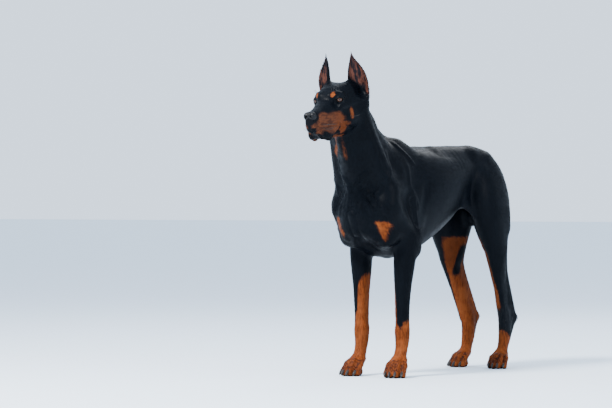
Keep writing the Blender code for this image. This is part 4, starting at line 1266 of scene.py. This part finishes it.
def comb_tufts(name, skin, share, count, seed, sizes):
    """Thin closed tufts rooted in the skin and combed along the lie of the coat."""
    roots, normals, chance = scatter(skin, share, count, seed)
    way = lie_of_coat(roots) + chance.normal(0, 0.10, (count, 3))
    way -= normals * (way * normals).sum(1)[:, None]
    way = unit(way)
    wide = np.cross(normals, way)
    a, l, w = head_place(roots)
    z = roots[:, 2]
    small = 1 - 0.60 * step(a, -0.14, -0.05) * step(w, -0.16, -0.09) - 0.40 * step(-z, -0.12, -0.05)
    small = small[:, None]
    length = sizes.length * small * (0.7 + 0.6 * chance.random((count, 1)))
    half = sizes.width / 2 * small * (0.7 + 0.6 * chance.random((count, 1)))
    lift = sizes.lift * small * (0.4 + 1.2 * chance.random((count, 1)))
    base = roots - normals * 0.0006
    middle = roots + way * length * 0.45 + normals * lift
    rows = np.stack([base, middle - wide * half, middle + wide * half,
                     middle + normals * half * 0.55, roots + way * length + normals * lift * 0.9], 1)
    rows[:, :, 2] = np.maximum(rows[:, :, 2], LOWEST_TUFT)
    mesh = bpy.data.meshes.new(name)
    mesh.vertices.add(count * TUFT_CORNERS)
    mesh.vertices.foreach_set("co", rows.ravel())
    loops = (TUFT_FACES[None] + TUFT_CORNERS * np.arange(count)[:, None, None]).ravel()
    mesh.loops.add(len(loops))
    mesh.loops.foreach_set("vertex_index", loops)
    mesh.polygons.add(len(loops) // 3)
    mesh.polygons.foreach_set("loop_start", np.arange(0, len(loops), 3))
    mesh.update(calc_edges=True)
    mesh.validate()
    coat = bpy.data.objects.new(name, mesh)
    bpy.context.scene.collection.objects.link(coat)
    for mark, values in marks_at(roots, normals).items():
        set_value(coat, mark, np.repeat(values, TUFT_CORNERS))
    places = (unwrapped(roots)[:, None] + TUFT_UNWRAP[None]).reshape(-1, 2)[loops]
    unwrap = mesh.uv_layers.new(name="OFBake")
    unwrap.data.foreach_set("uv", places.ravel().astype(np.float32))
    smooth(coat)
    leaning = normals[:, None] + chance.normal(0, 0.10, (count, TUFT_CORNERS, 3))
    leaning[:, 1] -= wide * 0.30
    leaning[:, 2] += wide * 0.30
    mesh.normals_split_custom_set_from_vertices(unit(leaning).reshape(-1, 3).tolist())
    return coat


# Finishes

class Wire:
    """A socket that sums and products can be written on."""

    def __init__(self, tree, socket=None):
        self.tree = tree
        self.socket = socket

    def node(self, kind, settings=None, sockets=None, out=0):
        """A new node: its settings first, then the values or links of its sockets."""
        made = self.tree.nodes.new(kind)
        for name, value in (settings or {}).items():
            if name == "stops":
                for stop, (place, colour) in zip(made.color_ramp.elements, value):
                    stop.position = place
                    stop.color = (*colour, 1)
            else:
                setattr(made, name, value)
        for key, value in (sockets or {}).items():
            if isinstance(value, Wire):
                self.tree.links.new(value.socket, made.inputs[key])
            else:
                made.inputs[key].default_value = value
        return Wire(self.tree, made.outputs[out])

    def sum_of(self, operation, *values):
        return self.node("ShaderNodeMath", {"operation": operation}, dict(enumerate(values)))

    def __add__(self, other):
        return self.sum_of("ADD", self, other)

    def __radd__(self, other):
        return self.sum_of("ADD", other, self)

    def __sub__(self, other):
        return self.sum_of("SUBTRACT", self, other)

    def __rsub__(self, other):
        return self.sum_of("SUBTRACT", other, self)

    def __mul__(self, other):
        return self.sum_of("MULTIPLY", self, other)

    def __rmul__(self, other):
        return self.sum_of("MULTIPLY", other, self)

    def __truediv__(self, other):
        return self.sum_of("DIVIDE", self, other)

    def ramp(self, low, high, start=0.0, end=1.0):
        """start below low, end above high, and a smooth change between."""
        return self.node("ShaderNodeMapRange", {"interpolation_type": "SMOOTHSTEP"},
                         {"Value": self, "From Min": low, "From Max": high, "To Min": start, "To Max": end})

    def attribute(self, name):
        return self.node("ShaderNodeAttribute", {"attribute_name": name}, out="Fac")

    def place(self):
        return self.node("ShaderNodeTexCoord", out="Object")

    def mix(self, share, one, two):
        """A colour between two."""
        return self.node("ShaderNodeMix", {"data_type": "RGBA"},
                         {0: share, 6: one if isinstance(one, Wire) else (*one, 1),
                          7: two if isinstance(two, Wire) else (*two, 1)}, out=2)

    def noise(self, place, scale, detail=2.0):
        return self.node("ShaderNodeTexNoise", None, {"Vector": place, "Scale": scale, "Detail": detail})

    def combed(self, way, stretch):
        """The object's place, drawn out along the way the hair runs."""
        way = Vector(way).normalized()
        place = self.place()
        along = self.node("ShaderNodeVectorMath", {"operation": "DOT_PRODUCT"}, {0: place, 1: way[:]}, out=1)
        slid = self.node("ShaderNodeVectorMath", {"operation": "SCALE"},
                         {0: way[:], "Scale": along * (1 / stretch - 1)})
        return self.node("ShaderNodeVectorMath", {"operation": "ADD"}, {0: place, 1: slid})


def new_finish(name):
    finish = bpy.data.materials.new(name)
    finish.use_nodes = True
    return finish, finish.node_tree.nodes["Principled BSDF"], Wire(finish.node_tree)


def feed(wire, shader, name):
    wire.tree.links.new(wire.socket, shader.inputs[name])


def bumped(wire, height, distance, strength=1.0):
    return wire.node("ShaderNodeBump", None, {"Height": height, "Distance": distance, "Strength": strength})


def hair_noise(wire, scale, stretch, detail=2.0):
    """Noise drawn out along the hair: back over the body, down the neck and legs, back over the head."""
    body = wire.noise(wire.combed((0.06, 0.80, -0.55), stretch), scale, detail)
    leg = wire.noise(wire.combed(LEG_LIE, stretch), scale, detail)
    neck = wire.noise(wire.combed(NECK_LIE, stretch), scale, detail)
    head = wire.noise(wire.combed(-AHEAD, stretch), scale, detail)
    of_leg, of_neck, of_head = (wire.attribute(name) for name in ("of_leg", "of_neck", "of_head"))
    mixed = body + of_leg * (leg - body)
    mixed = mixed + of_neck * (neck - mixed)
    return mixed + of_head * (head - mixed)


def coat_finish(colours, name="short_coat"):
    """Black coat with rust marks, bare rims and pads, and the thin skin inside the ears."""
    finish, shader, wire = new_finish(name)
    fine = hair_noise(wire, 1100, 14)
    lock = hair_noise(wire, 230, 7)
    broad = wire.noise(wire.place(), 26, 3.0)
    rust, bare, in_ear, up_ear, dull, hock_grey_and_sheen, soft = (wire.attribute(mark) for mark in (
        "rust", "bare", "in_ear", "up_ear", "dull", "hock_grey_and_sheen", "soft"))
    edge = rust + (lock - 0.5) * (1.0 + 1.6 * soft) + (fine - 0.5) * (0.8 + 0.8 * soft)
    share = (edge / soft).ramp(-0.75, 0.75)
    black = wire.mix(fine.ramp(0.3, 0.7), colours.black, colours.black_light)
    black = wire.mix(broad.ramp(0.35, 0.75, 0.0, 0.45), black, colours.black_light)
    # painted sheen: the left hock's coat lightened towards grey, over greyish hair
    grey = wire.mix(lock.ramp(0.35, 0.65), colours.hock_grey_and_sheen, colours.black_light)
    black = wire.mix(hock_grey_and_sheen, black, grey)
    tan = wire.mix((fine * 0.5 + lock * 0.5).ramp(0.38, 0.62), colours.rust_roots_and_shade, colours.rust)
    tan = wire.mix(broad.ramp(0.4, 0.7, 0.0, 0.5), tan, colours.rust_light)
    # painted shade inside the hind thighs, in the colour of the rust's roots
    tan = wire.mix(wire.attribute("deep") * 0.75, tan, colours.rust_roots_and_shade)
    tan = wire.mix(dull * 0.85, tan, wire.mix(lock.ramp(0.4, 0.6), colours.face_tan, colours.face_tan_dark))
    colour = wire.mix(share, black, tan)
    streak = wire.noise(wire.combed(UP, 4), 120, 3.0)
    ear = wire.mix(streak.ramp(0.42, 0.60), colours.ear_skin, colours.ear_dark)
    ear = wire.mix(up_ear, ear, colours.ear_dark)
    colour = wire.mix(in_ear, colour, ear)
    skin = wire.mix(fine.ramp(0.4, 0.6), colours.bare, colours.black)
    bald = bare.ramp(-0.6, 0.6)
    colour = wire.mix(bald, colour, skin)
    feed(colour, shader, "Base Color")
    rough = 0.36 + (fine - 0.5) * 0.16 + share * 0.14 + broad.ramp(0.3, 0.8, 0.0, 0.08)
    feed(rough + bald * 0.05, shader, "Roughness")
    shader.inputs["Specular IOR Level"].default_value = 0.036
    hair = bumped(wire, fine * 0.4 + lock * 0.6, 0.0008, 0.4)
    feed(hair, shader, "Normal")
    return finish


def nose_finish(colours):
    """Black leather in small rounded pebbles, moist."""
    finish, shader, wire = new_finish("nose_leather")
    pebble = wire.node("ShaderNodeTexVoronoi", {"feature": "F1"}, {"Vector": wire.place(), "Scale": 720})
    wear = wire.noise(wire.place(), 160, 3.0)
    feed(wire.mix(pebble.ramp(0.2, 0.75), colours.nose, colours.bare), shader, "Base Color")
    feed(wear.ramp(0.3, 0.7, 0.34, 0.50), shader, "Roughness")
    shader.inputs["Specular IOR Level"].default_value = 0.12
    shader.inputs["Coat Weight"].default_value = 0.05
    shader.inputs["Coat Roughness"].default_value = 0.25
    feed(bumped(wire, 1 - pebble, 0.0003, 0.5), shader, "Normal")
    return finish


def eye_finish(colours, sizes):
    """A dark pupil in a brown iris with fine rays, under a wet surface."""
    finish, shader, wire = new_finish("wet_eye")
    from_pupil = wire.attribute("from_pupil")
    rays = wire.noise(wire.place(), 900, 3.0)
    iris = wire.mix((from_pupil + (rays - 0.5) * 3.0).ramp(2.2, sizes.iris * 1000 - 0.6), colours.iris_light,
                    colours.iris)
    white = wire.mix(rays.ramp(0.3, 0.7), colours.eye_white, colours.iris)
    colour = wire.mix(from_pupil.ramp(sizes.iris * 1000 - 0.5, sizes.iris * 1000 + 0.5), iris, white)
    pupil = from_pupil.ramp(sizes.pupil * 1000 - 0.3, sizes.pupil * 1000 + 0.3)
    colour = wire.mix(pupil, colours.pupil, colour)
    feed(colour, shader, "Base Color")
    shader.inputs["Roughness"].default_value = 0.55
    shader.inputs["Specular IOR Level"].default_value = 0.02
    shader.inputs["Coat Weight"].default_value = 0.7
    shader.inputs["Coat Roughness"].default_value = 0.02
    return finish


def horn_finish(colours):
    """Dark horn with streaks along each claw."""
    finish, shader, wire = new_finish("claw_horn")
    streak = wire.noise(wire.combed(FOOT_LIE, 8), 900, 2.0)
    feed(wire.mix(streak.ramp(0.35, 0.7), colours.claw, colours.claw_light), shader, "Base Color")
    feed(streak.ramp(0.3, 0.7, 0.30, 0.48), shader, "Roughness")
    shader.inputs["Specular IOR Level"].default_value = 0.2
    feed(bumped(wire, streak, 0.0003, 0.6), shader, "Normal")
    return finish


def wear(body, finish):
    body.data.materials.clear()
    body.data.materials.append(finish)


# Settings

def length(name, description, default):
    return FloatProperty(name=name, description=description, default=default, min=0.0, subtype="DISTANCE",
                         unit="LENGTH", precision=4)


def share(name, description, default):
    return FloatProperty(name=name, description=description, default=default, min=0.0, max=1.0)


def colour(name, description, default):
    return FloatVectorProperty(name=name, description=description, default=default, size=3, min=0.0, max=1.0,
                               subtype="COLOR")


class DogSkinSizes(bpy.types.PropertyGroup):
    grain: length("Grain", "Size of the skin's faces on the trunk", 0.0055)
    ear_grain: length("Ear grain", "Size of the faces an ear is grown with", 0.0011)
    ear_thinning: share("Ear thinning", "Share of an ear's faces that is kept", 0.22)
    depth: length("Coat depth", "How far the skin lies under the coat's own outline", 0.0008)
    eye_width: length("Eye width", "Width of the opening between the lids", 0.0205)
    eye_height: length("Eye height", "Height of the opening between the lids", 0.0112)


class DogHeadSizes(bpy.types.PropertyGroup):
    iris: length("Iris", "Radius of the iris", 0.0075)
    pupil: length("Pupil", "Radius of the pupil", 0.0028)
    whiskers: length("Whiskers", "Usual length of a whisker", 0.024)
    claws: length("Claws", "Thickness of a fore claw at its root", 0.0048)


class DogCoatSizes(bpy.types.PropertyGroup):
    length: length("Tuft length", "Length of a tuft on the trunk", 0.010)
    width: length("Tuft width", "Width of a tuft on the trunk", 0.0009)
    lift: length("Tuft lift", "How far a tuft's tip stands off the skin", 0.0005)
    count: IntProperty(name="Tufts", description="Tufts in each of the four parts of the coat", default=26000,
                       min=100, max=33000)


class DogColours(bpy.types.PropertyGroup):
    black: colour("Black", "Black coat between the highlights", (0.0007, 0.0011, 0.0019))
    black_light: colour("Black, hair tips", "Paler hairs of the black coat", (0.0021, 0.0031, 0.0050))
    # the hock's grey is greyish hair with a painted sheen on it
    hock_grey_and_sheen: colour("Hock", "Dark grey of the hock band", (0.0075, 0.0080, 0.0095))
    rust: colour("Rust", "Rust marks", (0.165, 0.036, 0.0075))
    # deep rust of the hair roots, and the colour of the painted shade inside the hind thighs
    rust_roots_and_shade: colour("Rust, roots", "Deep rust between the hairs", (0.062, 0.014, 0.0035))
    rust_light: colour("Rust, tips", "Paler rust of the hair tips", (0.240, 0.062, 0.016))
    face_tan: colour("Face tan", "Duller tan of the muzzle", (0.085, 0.028, 0.013))
    face_tan_dark: colour("Face tan, dark", "Dusky hairs of the muzzle", (0.024, 0.011, 0.008))
    ear_skin: colour("Ear skin", "Thinly haired skin inside the ear", (0.100, 0.035, 0.023))
    ear_dark: colour("Ear, dark", "Dark hairs inside the ear", (0.010, 0.008, 0.010))
    bare: colour("Bare skin", "Bare skin of lips, lids and pads", (0.0045, 0.0048, 0.0058))
    nose: colour("Nose", "Nose leather", (0.0030, 0.0030, 0.0038))
    iris: colour("Iris", "Outer iris", (0.018, 0.006, 0.0025))
    iris_light: colour("Iris, light", "Inner iris", (0.075, 0.022, 0.007))
    pupil: colour("Pupil", "Pupil", (0.001, 0.001, 0.001))
    eye_white: colour("Eye white", "White of the eye", (0.050, 0.032, 0.026))
    claw: colour("Claw", "Claw horn", (0.010, 0.009, 0.009))
    claw_light: colour("Claw, streaks", "Paler streaks in the horn", (0.034, 0.028, 0.024))


class DogStageSizes(bpy.types.PropertyGroup):
    azimuth: FloatProperty(name="Azimuth", description="How far the camera stands round from straight ahead",
                           default=math.radians(37), subtype="ANGLE", unit="ROTATION")
    distance: length("Distance", "Distance of the camera", 8.0)
    height: length("Height", "Height of the camera above the floor", 0.506)
    aside: length("Aside", "How far the camera's line passes the fore feet", 0.225)
    lens: FloatProperty(name="Lens", description="Focal length of the camera", default=160.0, unit="CAMERA")
    floor: length("Floor", "Width of the floor", 120.0)
    floor_colour: colour("Floor colour", "Pale floor", (0.74, 0.82, 0.90))
    sky_colour: colour("Light colour", "Colour of the soft light from all round", (0.69, 0.82, 0.99))
    sky_strength: FloatProperty(name="Light", description="Strength of the soft light from all round",
                                default=2.0, min=0.0)


# Operators

# Each lamp's place from the middle of the dog, along the camera's line, to its right and up; its width
# and its power.
LAMPS = {
    "key": ((-2.6, -2.4, 3.4), 1.3, 620),
    "fill": ((-3.0, 3.4, 1.4), 2.0, 90),
    "back": ((3.0, 1.2, 3.0), 2.4, 80),
}
MIDDLE_OF_DOG = Vector((0, 0.15, 0.45))
DARKER_FLOOR = (0.72, 0.79, 0.86)
SENSOR_WIDTH = 36
FIRST_TUFT_SEED = 20


def place_light(name, where, aim, width, power):
    lamp = bpy.data.lights.new(name, "AREA")
    lamp.shape = "DISK"
    lamp.size = width
    lamp.energy = power
    light = bpy.data.objects.new(name, lamp)
    light.location = where
    light.rotation_euler = (Vector(aim) - Vector(where)).to_track_quat("-Z", "Y").to_euler()
    bpy.context.scene.collection.objects.link(light)


class DOG_OT_skin(bpy.types.Operator):
    """Grow the skin of the whole dog with its ears, lids, lips and toes"""
    bl_idname = "dog.skin"
    bl_label = "Skin"

    def execute(self, context):
        dog = context.scene.dog
        skin = smooth(grow_skin(dog.skin))
        for mark, values in marks_at(corners_of(skin), facing_of(skin)).items():
            set_value(skin, mark, values)
        wear(skin, coat_finish(dog.colours))
        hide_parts(*FLESH_NODES, "ear_left", "ear_right")
        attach(skin, "root")
        return {"FINISHED"}


class DOG_OT_nose(bpy.types.Operator):
    """Model the nose leather with its nostrils"""
    bl_idname = "dog.nose"
    bl_label = "Nose"

    def execute(self, context):
        nose = make_nose()
        wear(nose, nose_finish(context.scene.dog.colours))
        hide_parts("nose")
        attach(nose, "root")
        return {"FINISHED"}


class DOG_OT_eyes(bpy.types.Operator):
    """Model both eyeballs"""
    bl_idname = "dog.eyes"
    bl_label = "Eyes"

    def execute(self, context):
        dog = context.scene.dog
        finish = eye_finish(dog.colours, dog.head)
        for side, hand in HANDS.items():
            eye = make_eye(side, dog.head)
            wear(eye, finish)
            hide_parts("eye_" + hand)
            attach(eye, "root")
        return {"FINISHED"}


class DOG_OT_claws(bpy.types.Operator):
    """Model the sixteen claws"""
    bl_idname = "dog.claws"
    bl_label = "Claws"

    def execute(self, context):
        dog = context.scene.dog
        claws = make_claws(dog.head)
        wear(claws, horn_finish(dog.colours))
        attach(claws, "root")
        return {"FINISHED"}


class DOG_OT_whiskers(bpy.types.Operator):
    """Set whiskers in the muzzle, cheeks and brows"""
    bl_idname = "dog.whiskers"
    bl_label = "Whiskers"

    def execute(self, context):
        dog = context.scene.dog
        whiskers = make_whiskers(dog.head)
        wear(whiskers, horn_finish(dog.colours))
        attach(whiskers, "root")
        return {"FINISHED"}


class DOG_OT_coat(bpy.types.Operator):
    """Comb short tufts along the furred skin, in four parts of the coat"""
    bl_idname = "dog.coat"
    bl_label = "Coat"

    def execute(self, context):
        dog = context.scene.dog
        skin = bpy.data.objects["skin"]
        points = corners_of(skin)
        marks = marks_at(points, facing_of(skin))
        a, l, w = head_place(points)
        p = points + ORIGIN
        furry = step(-marks["bare"], 0.2, 1.4) * (1 - 0.9 * marks["in_ear"])
        for side in HANDS:
            furry *= step(np.linalg.norm(p - np.array(eye_centre(side)), axis=1), 0.015, 0.021)
        furry *= step(p[:, 2], 0.004, 0.012)
        nose_gap = np.linalg.norm(np.stack([a - 0.108, l, w + 0.034], 1), axis=1)
        furry *= step(nose_gap, 0.023, 0.030)
        head = (a > -0.13) & (w > -0.13) & (p[:, 1] < -0.15)
        fore = ~head & (p[:, 1] < 0.12) & (p[:, 2] < 0.44)
        hind = ~head & (p[:, 1] > 0.36) & (p[:, 2] < 0.50)
        trunk = ~head & ~fore & ~hind
        finish = skin.data.materials[0]
        for seed, (name, region) in enumerate((("coat_head", head), ("coat_fore", fore), ("coat_hind", hind),
                                               ("coat_trunk", trunk))):
            coat = comb_tufts(name, skin, furry * region, dog.coat.count, FIRST_TUFT_SEED + seed,
                              dog.coat)
            wear(coat, finish)
            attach(coat, "root")
        return {"FINISHED"}


class DOG_OT_stage(bpy.types.Operator):
    """Set the floor, the soft light and the camera"""
    bl_idname = "dog.stage"
    bl_label = "Stage"

    def execute(self, context):
        stage = context.scene.dog.stage
        shape = bmesh.new()
        bmesh.ops.create_grid(shape, x_segments=1, y_segments=1, size=stage.floor / 2)
        floor = add_body("floor", shape)
        finish, shader, wire = new_finish("pale_floor")
        grain = wire.noise(wire.place(), 3.0, 2.0)
        feed(wire.mix(grain.ramp(0.3, 0.7, 0.0, 0.03), stage.floor_colour, DARKER_FLOOR), shader,
             "Base Color")
        shader.inputs["Roughness"].default_value = 0.95
        wear(floor, finish)
        world = bpy.data.worlds.new("soft_light")
        world.use_nodes = True
        sky = world.node_tree.nodes["Background"]
        sky.inputs["Color"].default_value = (*stage.sky_colour, 1)
        sky.inputs["Strength"].default_value = stage.sky_strength
        context.scene.world = world
        turn = stage.azimuth
        ahead = Vector((-math.sin(turn), math.cos(turn), 0))
        right = Vector((math.cos(turn), math.sin(turn), 0))
        middle = MIDDLE_OF_DOG - MIDDLE
        for name, ((along, aside, up), width, power) in LAMPS.items():
            where = middle + ahead * along + right * aside + Vector((0, 0, up))
            place_light(name, where, middle, width, power)
        lens = bpy.data.cameras.new("camera")
        lens.lens = stage.lens
        lens.sensor_width = SENSOR_WIDTH
        camera = bpy.data.objects.new("camera", lens)
        spot = -right * stage.aside - ahead * stage.distance
        spot.z = stage.height
        camera.matrix_world = placed(right, Vector((0, 0, 1)), -ahead, spot - MIDDLE)
        context.scene.collection.objects.link(camera)
        context.scene.camera = camera
        return {"FINISHED"}


class DogSettings(bpy.types.PropertyGroup):
    skin: PointerProperty(type=DogSkinSizes, name="Skin", description="Sizes of the skin")
    head: PointerProperty(type=DogHeadSizes, name="Head", description="Sizes of eyes, whiskers and claws")
    coat: PointerProperty(type=DogCoatSizes, name="Coat", description="Sizes of the tufts")
    colours: PointerProperty(type=DogColours, name="Colours", description="Colours of the dog")
    stage: PointerProperty(type=DogStageSizes, name="Stage", description="Floor, light and camera")


OPERATORS = (DOG_OT_skin, DOG_OT_nose, DOG_OT_eyes, DOG_OT_claws, DOG_OT_whiskers, DOG_OT_coat, DOG_OT_stage)


class DOG_PT_pieces(bpy.types.Panel):
    """The pieces of the dog, in the order they are made"""
    bl_idname = "DOG_PT_pieces"
    bl_label = "Dog"
    bl_space_type = "VIEW_3D"
    bl_region_type = "UI"
    bl_category = "Dog"

    def draw(self, context):
        for step_of in OPERATORS:
            self.layout.operator(step_of.bl_idname)
        for group in (context.scene.dog.skin, context.scene.dog.head, context.scene.dog.coat,
                      context.scene.dog.colours, context.scene.dog.stage):
            box = self.layout.box()
            for name in group.bl_rna.properties.keys():
                if name not in ("rna_type", "name"):
                    box.prop(group, name)


CLASSES = (DogSkinSizes, DogHeadSizes, DogCoatSizes, DogColours, DogStageSizes, DogSettings, *OPERATORS,
           DOG_PT_pieces)


def register():
    for made in CLASSES:
        bpy.utils.register_class(made)
    bpy.types.Scene.dog = PointerProperty(type=DogSettings)


def unregister():
    del bpy.types.Scene.dog
    for made in reversed(CLASSES):
        bpy.utils.unregister_class(made)


def main():
    register()
    bpy.ops.dog.skin()
    bpy.ops.dog.nose()
    bpy.ops.dog.eyes()
    bpy.ops.dog.claws()
    bpy.ops.dog.whiskers()
    bpy.ops.dog.coat()
    bpy.ops.dog.stage()


if __name__ == "__main__":
    main()
